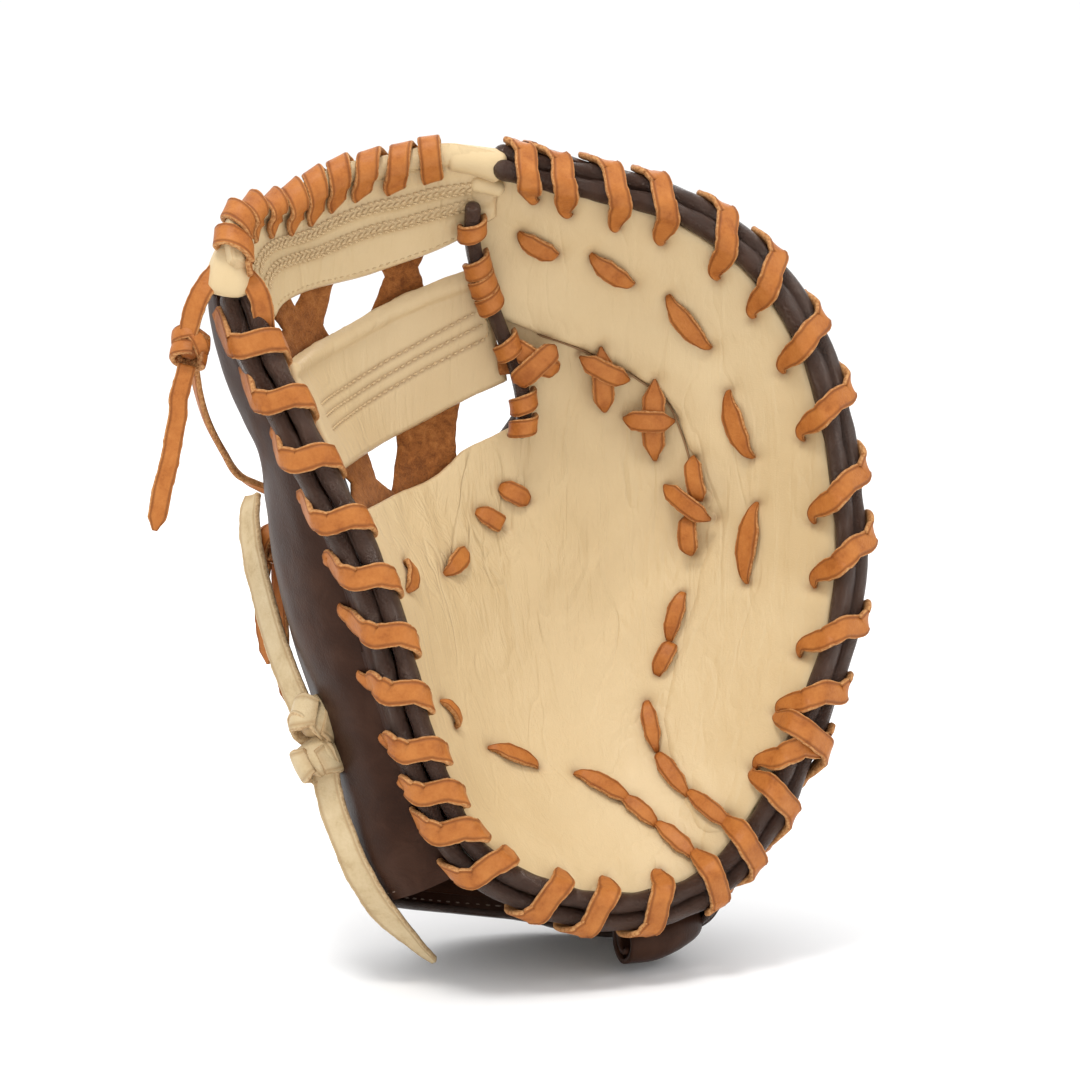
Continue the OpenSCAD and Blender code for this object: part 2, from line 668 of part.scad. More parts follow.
// Whip lacing over the top edge of the web, from low to high shares of the rim's radius and over the crest
web_wrap_shares = [0.9, 1, 1.028];
module web_wrap(a, tilt) {
    half = web_t / 2 + over;
    low = web_wrap_shares[0];
    high = web_wrap_shares[1];
    front_a = a + tilt / 2;
    path = [
        off_bowl(polar(front_a, low), -half),
        off_bowl(polar(a + tilt / 4, (low + high) / 2), -half),
        off_bowl(polar(a, high), -half),
        off_bowl(polar(a, web_wrap_shares[2]), 0),
        off_bowl(polar(a - tilt / 4, high), half),
        off_bowl(polar(a - tilt / 2, low), half)
    ];
    out = unit(off_bowl(polar(a, high), 0) - off_bowl(polar(a, low), 0));
    face = -bowl_back(polar(a, 0.97));
    lace(path, [face, face, mix(face, out, 0.4), out, mix(-face, out, 0.4), -face]);
}

module web_top_lace_thumb() {
    color(tan) stand() for (w = [[124.5, 1], [128, 1.5], [131.5, 2]]) web_wrap(w[0], w[1]);
}

module web_top_lace_finger() {
    color(tan) stand() for (w = [[109.7, 0.5], [106.7, 0.5]]) web_wrap(w[0], w[1]);
}

// Pale end tabs that fold over the ends of the top bar and tie into the fingertips
tab_shares = [0.93, 1.05];
module end_tab(a_from, a_to) {
    color(cream) stand()
        sheet([for (s = steps(3)) [for (u = steps(2))
            bowl(polar(mix(a_from, a_to, u), mix(tab_shares[0], tab_shares[1], s)))]],
            -web_t / 2 - layer_gap - palm_t, -web_t / 2 - layer_gap);
}

module web_end_tab_thumb() {
    end_tab(138.8, 134.5);
}

module web_end_tab_finger() {
    end_tab(105.2, 101.8);
}

// Short laces that tie the bars' ends to the thumb and to the index finger
tie_lift = -web_t / 2 - layer_gap * 2 - lace_t / 2;
module tie(a, b, lift) {
    stitch(a, b, lift, lace_w * 0.7);
}

module web_side_lace_thumb() {
    color(tan) stand() {
        tie([-101, 70], [-113, 74], tie_lift);
        tie([-97, 55], [-107, 57], tie_lift);
    }
}

module web_side_lace_finger() {
    color(tan) stand() {
        tie([-36, 96], [-28, 93], tie_lift);
        tie([-46, 118], [-40, 116], tie_lift);
    }
}

// ---- wrist

// Rolled end of the wrist leather under the little finger, which the mitt stands on
curl_d = 22;
curl_route = [[10, -23, -140], [19, -23, -140], [28, -20, -138], [35, -15, -136], [37.6, -11.6, -135]];
module rolled_tab() {
    path = smooth_path([for (p = curl_route) sized(p)], 8);
    color(dark) stand() cord(path, same([0, 0, 1], path), curl_d, curl_d, 12);
}

// Pale lace along the outside of the thumb, its knot and its hanging tail
wrist_lace_route = [[-120, 20, 38], [-122, 16, 25], [-121, 10, 10], [-119, 0, -10], [-115, -9, -28],
    [-111, -16, -42]];
wrist_knot_at = [-110, -20, -53];
wrist_tail_route = [[-106, -20, -62], [-105, -20, -72], [-103, -20, -82], [-100, -20, -92],
    [-97, -20, -101], [-93, -19, -109], [-88, -17, -117], [-82, -14, -124], [-76, -11, -130],
    [-70, -8, -136], [-64, -5, -141]];
module wrist_lace() {
    path = smooth_path([for (p = wrist_lace_route) sized(p)], 8);
    color(cream) stand() cord(path, same([-1, 0, 0.2], path), wrist_lace_w, wrist_lace_t);
}

module wrist_lace_knot() {
    color(cream) stand() translate(sized(wrist_knot_at)) rotate([0, -12, 0])
        hull() {
            translate([0, 0, 5]) scale([0.5, 0.9, 0.8]) sphere(d = 18, $fn = 12);
            translate([0, 0, -5]) scale([0.5, 0.9, 0.8]) sphere(d = 18, $fn = 12);
        }
}

module wrist_lace_tail() {
    path = smooth_path([for (p = wrist_tail_route) sized(p)], 12);
    color(cream) stand() cord(path, same([-1, 0, 0], path), wrist_lace_w, wrist_lace_t);
}

// ---- laces at the thumb tip

tip_knot_at = [-158, -66, 98];
tip_tail_route = [[-160, -66, 89], [-162, -66, 83], [-164, -66, 77], [-165, -66, 70], [-167, -65, 62],
    [-169, -65, 54], [-172, -64, 45], [-174, -63, 37], [-176, -62, 29]];
tip_loop_route = [[-156, -62, 91], [-153, -54, 80], [-147, -41, 70], [-138, -26, 60], [-128, -10, 52]];
module thumb_tip_knot() {
    color(tan) stand() translate(sized(tip_knot_at))
        hull() {
            scale([1, 0.7, 1]) sphere(d = 14, $fn = 12);
            translate([2, 0, -5]) scale([1, 0.7, 1]) sphere(d = 11, $fn = 12);
        }
}

// Two strands that tie over the thumb tip
module thumb_tip_lace() {
    left = [[-157, -67, 105], [-153, -72, 113], [-149, -74, 120], [-146, -74, 127]];
    right = [[-134, -80, 108], [-138, -79, 114], [-140, -78, 121], [-142, -75, 128]];
    color(tan) stand() {
        for (route = [left, right]) {
            path = smooth_path([for (p = route) sized(p)], 4);
            lace(path, same([-0.3, -1, 0.2], path), tail_w);
        }
    }
}

module thumb_tip_tail() {
    path = smooth_path([for (p = tip_tail_route) sized(p)], 10);
    color(tan) stand() cord(path, same([0, -1, 0], path), tail_w, lace_t);
}

module thumb_tip_loop() {
    path = smooth_path(concat([for (p = tip_loop_route) sized(p)], [thumb_seat(0.62, 0.62)]), 10);
    color(tan) stand() cord(path, same([-1, 0, 0], path), tail_w * 0.6, lace_t);
}

// ---- laces at the back of the thumb

back_knot_at = [-109, 22, 29];
back_tail_short_route = [[-111, 25, 20], [-113, 26, 12], [-113, 27, 4], [-113, 28, -4], [-112, 29, -12],
    [-111, 31, -20]];
back_tail_long_route = [[-105, 26, 19], [-105, 28, 10], [-105, 30, 0], [-105, 31, -10], [-105, 32, -19],
    [-104, 33, -28], [-103, 34, -37]];
module back_lace_knot() {
    strand = smooth_path([sized(back_knot_at), (sized(back_knot_at) + thumb_seat(0.53, 0.68)) / 2,
        thumb_seat(0.53, 0.68)], 4);
    color(tan) stand() {
        translate(sized(back_knot_at))
            hull() {
                scale([0.9, 0.7, 1]) sphere(d = 18, $fn = 12);
                translate([4, 0, -6]) scale([0.8, 0.7, 1]) sphere(d = 12, $fn = 12);
            }
        lace(strand, same([0, 0.3, 1], strand), tail_w);
    }
}

module back_tail(route) {
    path = smooth_path([for (p = route) sized(p)], 8);
    color(tan) stand() cord(path, same([-1, 0.4, 0], path), tail_w, lace_t);
}

module back_lace_tail_short() {
    back_tail(back_tail_short_route);
}

module back_lace_tail_long() {
    back_tail(back_tail_long_route);
}

palm_thumb_panel();
palm_finger_panel();
finger_flap_panel();
thumb_inner_panel();
thumb_back_panel();
finger_back_panel();
thumb_pad();
finger_pad();
heel_pad_thumb();
heel_pad_finger();
thumb_lining();
finger_lining();
fold_bead();
palm_lining_thumb();
palm_lining_finger();
thumb_loop();
little_finger_loop();
thumb_welt_inner();
thumb_welt_outer();
finger_welt_inner();
finger_welt_outer();
finger_edge_welt();
thumb_rim_lace();
finger_rim_lace();
heel_lace();
finger_edge_lace();
palm_lace_thumb();
palm_lace_finger();
flap_lace();
crotch_lace();
web_top_bar_thumb();
web_top_bar_finger();
web_lower_bar_thumb();
web_lower_bar_finger();
web_post_thumb();
web_post_finger();
web_top_lace_thumb();
web_top_lace_finger();
web_end_tab_thumb();
web_end_tab_finger();
web_side_lace_thumb();
web_side_lace_finger();
rolled_tab();
wrist_lace();
wrist_lace_knot();
wrist_lace_tail();
thumb_tip_knot();
thumb_tip_lace();
thumb_tip_tail();
thumb_tip_loop();
back_lace_knot();
back_lace_tail_short();
back_lace_tail_long();
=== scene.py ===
import json
import math

import bmesh
import bpy
import numpy as np
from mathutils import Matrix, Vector, geometry


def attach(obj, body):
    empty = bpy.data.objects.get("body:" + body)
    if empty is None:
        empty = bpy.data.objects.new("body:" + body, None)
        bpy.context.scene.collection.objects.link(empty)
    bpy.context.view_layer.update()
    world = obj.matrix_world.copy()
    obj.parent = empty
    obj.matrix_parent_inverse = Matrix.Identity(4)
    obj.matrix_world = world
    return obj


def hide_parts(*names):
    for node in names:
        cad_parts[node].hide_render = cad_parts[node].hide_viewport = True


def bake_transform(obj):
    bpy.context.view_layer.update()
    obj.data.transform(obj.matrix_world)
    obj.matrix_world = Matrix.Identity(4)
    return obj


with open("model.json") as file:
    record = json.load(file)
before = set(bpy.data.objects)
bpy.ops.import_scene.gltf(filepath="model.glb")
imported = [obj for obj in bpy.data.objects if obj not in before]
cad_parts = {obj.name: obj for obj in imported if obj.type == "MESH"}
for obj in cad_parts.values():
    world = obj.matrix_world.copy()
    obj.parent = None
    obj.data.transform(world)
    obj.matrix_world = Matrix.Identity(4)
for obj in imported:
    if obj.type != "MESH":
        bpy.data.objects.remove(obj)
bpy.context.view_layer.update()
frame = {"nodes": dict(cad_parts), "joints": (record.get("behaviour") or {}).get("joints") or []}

bpy.ops.object.select_all(action="DESELECT")
print("frame loaded:", len(frame["nodes"]), "CAD nodes")

# The mitt's own frame, in mm: x from thumb to fingers, y from pocket to back, z from heel to web.
# The fold line passes foldX, foldY and leans to the thumb.
mm = 0.001
stance = {"lean": 14, "turn": 20, "foldX": -43, "foldY": 2, "foldLean": 15, "bendHalf": 20}
foldPlace = np.array(next(joint["pos_m"] for joint in frame["joints"] if joint["name"] == "pocket_fold"))


def compass(degrees, radius=1.0):  # points on a circle
    turn = np.radians(degrees)
    return np.stack([np.cos(turn) * radius, np.sin(turn) * radius], -1)


(leanX, leanY), (turnX, turnY) = compass(-stance["lean"]), compass(stance["turn"])
toRoom = (np.array([[turnX, -turnY, 0], [turnY, turnX, 0], [0, 0, 1]])
          @ np.array([[1, 0, 0], [0, leanX, -leanY], [0, leanY, leanX]]))
pocketFloor = foldPlace - toRoom @ np.array([stance["foldX"], stance["foldY"], 0]) * mm
acrossFold = toRoom @ np.insert(compass(stance["foldLean"]), 1, 0)


def inRoom(points):  # mm in the mitt's frame to metres in the room
    return np.asarray(points, float) @ toRoom.T * mm + pocketFloor


cameraSetting = {"beside": (-0.0056, -1.4127, 0.2694), "pitch": 80, "lens": 120, "sensor": 36, "farEnd": 100}


def makeCamera():
    data = bpy.data.cameras.new("camera")
    data.lens, data.sensor_width = cameraSetting["lens"], cameraSetting["sensor"]
    data.clip_end = cameraSetting["farEnd"]
    camera = bpy.data.objects.new("camera", data)
    camera.location = Vector(pocketFloor) + Vector(cameraSetting["beside"])
    camera.rotation_euler = (math.radians(cameraSetting["pitch"]), 0, 0)
    bpy.context.scene.collection.objects.link(camera)
    bpy.context.scene.camera = camera


makeCamera()


class Wire:
    # One output socket, with arithmetic that adds Math nodes
    def __init__(self, paint, socket):
        self.paint, self.socket = paint, socket

    def maths(self, operation, *values):
        return self.paint.add("ShaderNodeMath", {"operation": operation}, dict(enumerate(values)))

    def __add__(self, other):
        return self.maths("ADD", self, other)

    def __radd__(self, other):
        return self.maths("ADD", other, self)

    def __sub__(self, other):
        return self.maths("SUBTRACT", self, other)

    def __rsub__(self, other):
        return self.maths("SUBTRACT", other, self)

    def __mul__(self, other):
        return self.maths("MULTIPLY", self, other)

    def __rmul__(self, other):
        return self.maths("MULTIPLY", other, self)

    def clamp(self):
        return self.maths("MINIMUM", self.maths("MAXIMUM", self, 0.0), 1.0)

    def absolute(self):
        return self.maths("ABSOLUTE", self)


class Paint:
    # A material that is built node by node
    def __init__(self, name):
        self.material = bpy.data.materials.new(name)
        self.material.use_nodes = True
        self.tree = self.material.node_tree
        self.shader = self.tree.nodes["Principled BSDF"]

    def add(self, kind, settings, sockets, output=0):
        node = self.tree.nodes.new(kind)
        stops = settings.pop("stops", None)
        for key, value in settings.items():
            setattr(node, key, value)
        if stops:
            ramp = node.color_ramp
            while len(ramp.elements) < len(stops):
                ramp.elements.new(0.5)
            for element, (place, colour) in zip(ramp.elements, stops):
                element.position, element.color = place, (*colour, 1)
        for key, value in sockets.items():
            self.feed(node.inputs[key], value)
        return Wire(self, node.outputs[output])

    def feed(self, socket, value):
        if isinstance(value, Wire):
            self.tree.links.new(value.socket, socket)
        elif socket.type == "RGBA" and len(value) == 3:
            socket.default_value = (*value, 1)
        else:
            socket.default_value = value

    def place(self, stretch=(1, 1, 1), turn=(0, 0, 0)):
        where = self.add("ShaderNodeTexCoord", {}, {}, "Object")
        return self.add("ShaderNodeMapping", {}, {"Vector": where, "Scale": stretch, "Rotation": turn})

    def onSurface(self, stretch=(1, 1, 1)):
        uv = self.add("ShaderNodeUVMap", {"uv_map": "UVMap"}, {})
        return self.add("ShaderNodeMapping", {}, {"Vector": uv, "Scale": stretch})

    def noise(self, where, scale, detail=2.0, rough=0.5, twist=0.0):
        return self.add("ShaderNodeTexNoise", {}, {
            "Vector": where, "Scale": scale, "Detail": detail, "Roughness": rough, "Distortion": twist})

    def cells(self, where, scale):
        return self.add("ShaderNodeTexVoronoi", {"feature": "F1"}, {"Vector": where, "Scale": scale},
                        "Distance")

    def mark(self, name):
        return self.add("ShaderNodeAttribute", {"attribute_name": name}, {}, "Fac")

    def ramp(self, factor, stops):
        return self.add("ShaderNodeValToRGB", {"stops": stops}, {"Fac": factor})

    def mix(self, factor, first, second):
        return self.add("ShaderNodeMix", {"data_type": "RGBA"}, {0: factor, 6: first, 7: second}, 2)

    def spread(self, value, low, high):  # 0 below low, 1 above high
        return self.add("ShaderNodeMapRange", {"clamp": True},
                        {"Value": value, "From Min": low, "From Max": high})

    def finish(self, values, height=None, depth=0.0005, strength=1.0):
        values = dict(values)
        if height is not None:
            values["Normal"] = self.add("ShaderNodeBump", {}, {
                "Height": height, "Distance": depth, "Strength": strength})
        for key, value in values.items():
            self.feed(self.shader.inputs[key], value)
        return self.material


creamTone = {"deep": (0.53, 0.385, 0.20), "mid": (0.60, 0.45, 0.25), "light": (0.65, 0.505, 0.295),
             "soil": (0.27, 0.15, 0.065), "rough": 0.42, "cloud": 9, "patch": 42, "fleck": 700,
             "grain": 1500, "pores": 2600, "fold": 150, "line": 46, "wrinkles": 0.7, "turn": (0.3, 0.2, 0.4)}


def paintCream(name, tone):
    p = Paint(name)
    here = p.place()
    patch = p.noise(here, tone["patch"], 4, 0.6, 0.4)
    base = p.ramp(p.noise(here, tone["cloud"], 3) * 0.8 + patch * 0.2, [
        (0.3, tone["deep"]), (0.5, tone["mid"]), (0.7, tone["light"])])
    base = p.mix(p.spread(p.noise(here, tone["fleck"], 2), 0.56, 0.76) * 0.12, base, tone["deep"])
    # soil darkens the cream towards a dark brown: partly dirt, partly painted shade in lace holes, along stitch
    # rows, under the flap's edge and over the lower bar.
    soilAndShadeMix = p.mark("soil") * (0.55 + patch * 0.8)
    base = p.mix(soilAndShadeMix.clamp(), base, tone["soil"])
    fold = p.noise(p.place((1, 1, 0.16), tone["turn"]), tone["fold"], 3, 0.55, 0.6)
    folds = p.spread(fold, 0.38, 0.62) * p.mark("wrinkle")
    line = (p.noise(p.place((1, 1, 0.3), tone["turn"]), tone["line"], 2, 0.5, 0.5) - 0.5).absolute()
    lines = p.spread(line, 0.0, 0.035) * p.mark("wrinkle")
    grain = p.cells(here, tone["grain"]) * 0.5 + p.noise(here, tone["pores"], 2) * 0.35
    height = grain * 0.35 + folds * tone["wrinkles"] * 4.5 + lines * 2.6 + patch * 0.9
    return p.finish({"Base Color": base, "Roughness": tone["rough"] + patch * 0.16, "Specular IOR Level": 0.38,
                     "Sheen Weight": 0.06, "Sheen Roughness": 0.4}, height, 0.00042, 0.55)


darkTone = {"deep": (0.021, 0.0082, 0.005), "mid": (0.034, 0.0140, 0.0082), "light": (0.058, 0.027, 0.017),
            "rub": (0.16, 0.085, 0.05), "cloud": 16, "patch": 85, "grain": 1150, "pores": 2300}


def paintDark(name, gloss=0.0, creased=False):
    p = Paint(name)
    here = p.place()
    patch = p.noise(here, darkTone["patch"], 3, 0.6, 0.5)
    base = p.ramp(p.noise(here, darkTone["cloud"], 4, 0.55) * 0.5 + patch * 0.5, [
        (0.3, darkTone["deep"]), (0.5, darkTone["mid"]), (0.72, darkTone["light"])])
    rub = p.mark("soil") * p.spread(patch, 0.35, 0.7)
    base = p.mix(rub.clamp() * 0.5, base, darkTone["rub"])
    grain = p.cells(here, darkTone["grain"]) * 0.6 + p.noise(here, darkTone["pores"], 2) * 0.4
    height = grain * 0.55 + patch * 1.2
    if creased:  # fine creases that run the length of a roll
        height = height + p.spread(p.noise(p.onSurface((10, 7, 1)), 3, 4, 0.6, 0.5), 0.36, 0.6) * 4.5
    return p.finish({"Base Color": base, "Roughness": 0.34 - gloss + patch * 0.16,
                     "Specular IOR Level": 0.10 + 2.6 * gloss,
                     "Specular Tint": (1, 0.84, 0.74)}, height, 0.0004, 0.5)


laceTone = {"body": (0.385, 0.125, 0.024), "warm": (0.46, 0.165, 0.036), "deep": (0.30, 0.088, 0.015),
            "line": (0.13, 0.032, 0.006), "cut": (0.54, 0.275, 0.105), "cutDeep": (0.31, 0.115, 0.033)}
paleTone = {"body": (0.52, 0.395, 0.225), "warm": (0.58, 0.455, 0.275), "deep": (0.44, 0.32, 0.17),
            "line": (0.36, 0.22, 0.10), "cut": (0.56, 0.40, 0.22), "cutDeep": (0.38, 0.24, 0.12)}


def paintLace(name, tone):
    p = Paint(name)
    here = p.place()
    patch, speck, cut = p.noise(here, 120, 4, 0.6, 0.3), p.noise(here, 900, 3, 0.6), p.mark("cut")
    body = p.ramp(patch * 0.75 + speck * 0.25, [
        (0.34, tone["deep"]), (0.46, tone["body"]), (0.66, tone["warm"])])
    flesh = p.mix(p.spread(speck, 0.35, 0.62), tone["cutDeep"], tone["cut"])
    nearEdge = p.spread(cut, 0.12, 0.24) * (1 - p.spread(cut, 0.28, 0.42))
    body = p.mix(nearEdge * 0.6, body, tone["line"])
    colour = p.mix(p.spread(cut, 0.42, 0.56), body, flesh)
    # Painted shade: the lace is darkened where the pinch mark is set, at the ends that dive into holes and on
    # knot cores.
    colour = p.mix((p.mark("pinch") * 0.75).clamp(), colour, tone["line"])
    height = speck * (0.35 + cut * 2.2) + p.cells(here, 1300) * 0.3 - nearEdge * 1.6
    return p.finish({"Base Color": colour, "Roughness": 0.46 + cut * 0.34, "Specular IOR Level": 0.22},
                    height, 0.00045, 0.55)


suedeTone = {"deep": (0.12, 0.035, 0.008), "mid": (0.255, 0.085, 0.02), "light": (0.42, 0.165, 0.045),
             "sheen": (0.8, 0.5, 0.3)}


def paintSuede(name):
    p = Paint(name)
    here = p.place()
    nap, fibre = p.noise(here, 260, 5, 0.7, 0.8), p.noise(here, 1500, 3, 0.7)
    colour = p.ramp(nap * 0.5 + fibre * 0.25 + p.noise(here, 40, 3) * 0.25, [
        (0.36, suedeTone["deep"]), (0.5, suedeTone["mid"]), (0.66, suedeTone["light"])])
    return p.finish({"Base Color": colour, "Roughness": 0.9, "Specular IOR Level": 0.15, "Sheen Weight": 0.25,
                     "Sheen Roughness": 0.5, "Sheen Tint": suedeTone["sheen"]}, nap * 2 + fibre, 0.0006, 0.7)


def paintThread(name, colour, dark):
    p = Paint(name)
    ply = p.add("ShaderNodeTexWave", {"bands_direction": "DIAGONAL"},
                {"Vector": p.onSurface(), "Scale": 2.2, "Distortion": 0.4})
    return p.finish({"Base Color": p.mix(ply, dark, colour), "Roughness": 0.7, "Specular IOR Level": 0.3},
                    ply, 0.00015, 0.6)


def paintFelt(name):
    p = Paint(name)
    here = p.place()
    hair = p.noise(here, 900, 4, 0.7, 1.2)
    colour = p.ramp(hair * 0.6 + p.noise(here, 60, 3) * 0.4, [
        (0.35, (0.24, 0.22, 0.19)), (0.65, (0.46, 0.43, 0.38))])
    return p.finish({"Base Color": colour, "Roughness": 0.95, "Sheen Weight": 0.3}, hair, 0.0006, 0.7)


paints = {
    "cream": paintCream("creamLeather", creamTone),
    "creamEdge": paintLace("creamCutEdge", {**paleTone, "body": paleTone["cut"], "warm": paleTone["cut"]}),
    "dark": paintDark("darkLeather"),
    "roll": paintDark("darkRoll", 0.19, True),
    "lining": paintDark("liningLeather", -0.03),
    "lace": paintLace("rawhide", laceTone),
    "pale": paintLace("paleLace", paleTone),
    "suede": paintSuede("suede"),
    "thread": paintThread("creamThread", (0.74, 0.56, 0.33), (0.4, 0.27, 0.13)),
    "darkThread": paintThread("hemThread", (0.30, 0.23, 0.18), (0.08, 0.05, 0.04)),
    "felt": paintFelt("felt"),
}
print("materials made")


def unit(vectors):
    vectors = np.asarray(vectors, float)
    return vectors / np.maximum(np.linalg.norm(vectors, axis=-1, keepdims=True), 1e-9)


def mix(a, b, share):
    return np.asarray(a, float) * (1 - share) + np.asarray(b, float) * share


def hump(gap, reach):  # 1 where the gap is 0, falling off over reach
    return np.exp(-(np.asarray(gap, float) / reach) ** 2)


def eased(value):  # 0 below 0, 1 above 1, with soft ends
    value = np.clip(value, 0, 1)
    return value * value * (3 - 2 * value)


def blendFour(a, b, c, d, u):  # smooth curve from b to c with a before and d after
    return 0.5 * (2 * b + (c - a) * u + (2 * a - 5 * b + 4 * c - d) * u ** 2 + (3 * b - a - 3 * c + d) * u ** 3)


def along(points, share):  # point of an open list, share from 0 to 1
    points = np.asarray(points, float)
    last = len(points) - 1
    place = np.clip(np.asarray(share, float), 0, 1) * last
    part = np.minimum(place.astype(int), last - 1)
    u = (place - part).reshape(place.shape + (1,) * (points.ndim - 1))
    return blendFour(points[np.maximum(part - 1, 0)], points[part], points[part + 1],
                     points[np.minimum(part + 2, last)], u)


def around(values, angle):  # value of a closed list at an angle
    values = np.asarray(values, float)
    count = len(values)
    place = np.mod(angle, 360) / 360 * count
    part = np.floor(place).astype(int)
    four = [values[(part + k) % count] for k in (-1, 0, 1, 2)]
    return blendFour(*four, place - part)


def evenly(points, step):  # points every step mm along a smooth curve; columns past the third are carried
    fine = along(points, np.linspace(0, 1, 24 * len(points)))
    run = np.concatenate([[0], np.cumsum(np.linalg.norm(np.diff(fine[:, :3], axis=0), axis=1))])
    stops = np.linspace(0, run[-1], max(3, int(round(run[-1] / step)) + 1))
    return np.stack([np.interp(stops, run, column) for column in fine.T], axis=1), stops


def ripple(points, size, seed=0):  # smooth noise from -1 to 1 with features about size across
    place = np.asarray(points, float) / size + seed * 17.31
    cell, part = np.floor(place), eased(place - np.floor(place))
    total = np.zeros(place.shape[:-1])
    scatter = np.array([127.1, 311.7, 74.7])[:place.shape[-1]]
    for corner in np.ndindex(*(2,) * place.shape[-1]):
        weight = np.prod(np.where(np.array(corner) == 1, part, 1 - part), axis=-1)
        total += weight * np.mod(np.sin((cell + corner) @ scatter) * 43758.5453, 1)
    return total * 2 - 1


def near(points, spots, reach):  # 1 at the closest of the spots, falling off over reach
    gaps = np.linalg.norm(points[:, None, :] - np.asarray(spots, float)[None], axis=2)
    return hump(gaps.min(axis=1), reach)


def toLine(points, line):  # distance from each point to a polyline
    points, line = np.asarray(points, float), np.asarray(line, float)
    best = np.full(len(points), np.inf)
    for start, step in zip(line, np.diff(line, axis=0)):
        share = np.clip(((points - start) @ step) / (step @ step), 0, 1)
        best = np.minimum(best, np.linalg.norm(points - (start + share[:, None] * step), axis=1))
    return best


# The pocket: the rim's radius and depth at every 15 degrees, from the finger side round by the web
rimRadius = [91, 94, 102, 116, 130, 140, 147, 170, 190, 186, 136, 104,
             90, 87, 91, 99, 112, 117, 121, 120, 109, 97, 91, 90]
rimDepth = [70, 72, 74, 74, 73, 70, 68, 63, 58, 66, 72, 72, 70, 67, 62, 56, 50, 46, 44, 46, 51, 57, 62, 66]
pocket = {"bowlPower": 2.4, "indexDip": 5.5, "dipFrom": 447, "dipOver": 13}


def polar(angle, share):  # flat place at a share of the rim's radius
    return compass(angle, around(rimRadius, angle) * share)


def bowl(flat):
    x, z = np.moveaxis(np.asarray(flat, float), -1, 0)
    angle = np.degrees(np.arctan2(z, x))
    depth = around(rimDepth, angle) * (np.hypot(x, z) / around(rimRadius, angle)) ** pocket["bowlPower"]
    return np.stack([x, -depth, z], -1)


def bowlBack(flat):
    flat = np.asarray(flat, float)
    up, right = [bowl(flat + step) - bowl(flat - step) for step in np.array([[0, 1], [1, 0]])]
    return unit(np.cross(up, right))


def offBowl(flat, back):  # back is mm behind the pocket's surface
    return bowl(flat) + bowlBack(flat) * np.asarray(back, float)[..., None]


def rim(angle):
    flat = polar(angle, 1)
    return np.stack([flat[..., 0], -around(rimDepth, angle), flat[..., 1]], -1)


def rimOut(angle):
    angle = np.asarray(angle, float)
    step = rim(angle + 1) - rim(angle - 1)
    return unit(np.stack([step[..., 2], np.zeros(step.shape[:-1]), -step[..., 0]], -1))


def byRim(angle, out, back):  # mm outward and backward from the rim, which dips at the index end
    angle = np.asarray(angle, float)
    out = out - pocket["indexDip"] * eased((angle - pocket["dipFrom"]) / pocket["dipOver"])
    behind = np.array([0, 1, 0]) * np.asarray(back)[..., None]
    return rim(angle) + np.asarray(out)[..., None] * rimOut(angle) + behind


def gridFaces(rows, columns):
    return [[i * columns + j, (i + 1) * columns + j, (i + 1) * columns + j + 1, i * columns + j + 1]
            for i in range(rows - 1) for j in range(columns - 1)]


class Bundle:
    # Points, faces and marks of several pieces that become one object
    def __init__(self):
        self.points, self.faces, self.slots, self.marks, self.uv, self.count = [], [], [], [], [], 0

    def add(self, points, faces, marks=None, uv=None, slot=0):
        self.faces += [[i + self.count for i in face] for face in faces]
        self.slots += slot if isinstance(slot, list) else [slot] * len(faces)
        self.points.append(np.asarray(points, float))
        self.marks.append((len(points), marks or {}))
        self.uv.append(np.zeros((len(points), 2)) if uv is None else uv)
        self.count += len(points)

    def build(self, name, *paintNames, weld=False):
        mesh = bpy.data.meshes.new(name)
        mesh.from_pydata(inRoom(np.concatenate(self.points)).tolist(), [], self.faces)
        for paintName in paintNames:
            mesh.materials.append(paints[paintName])
        mesh.polygons.foreach_set("material_index", self.slots)
        for key in sorted({key for _, marks in self.marks for key in marks}):
            values = np.concatenate([np.broadcast_to(marks.get(key, 0.0), count)
                                     for count, marks in self.marks])
            mesh.attributes.new(key, "FLOAT", "POINT").data.foreach_set("value", values.astype(np.float32))
        corners = np.empty(len(mesh.loops), np.int32)
        mesh.loops.foreach_get("vertex_index", corners)
        mesh.uv_layers.new(name="UVMap").data.foreach_set(
            "uv", np.concatenate(self.uv)[corners].astype(np.float32).ravel())
        shape = bmesh.new()
        shape.from_mesh(mesh)
        if weld:
            bmesh.ops.remove_doubles(shape, verts=shape.verts, dist=0.03 * mm)
        bmesh.ops.recalc_face_normals(shape, faces=shape.faces)
        shape.to_mesh(mesh)
        shape.free()
        mesh.shade_smooth()
        obj = bpy.data.objects.new(name, mesh)
        bpy.context.scene.collection.objects.link(obj)
        return obj


def move(obj, side, *stoodFor):
    # Rides on one body, or stays put in the room when side is both, and hides the CAD nodes that it stands for
    if side == "both":
        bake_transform(obj)
    else:
        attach(obj, side + "_side")
    if stoodFor:
        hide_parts(*stoodFor)
    return obj


def insidePolygon(points, outline):
    inside = np.zeros(len(points), bool)
    x, y = points.T
    for (ax, ay), (bx, by) in zip(outline, np.roll(outline, -1, axis=0)):
        crosses = (ay > y) != (by > y)
        inside ^= crosses & (x < (bx - ax) * (y - ay) / (by - ay + 1e-12) + ax)
    return inside


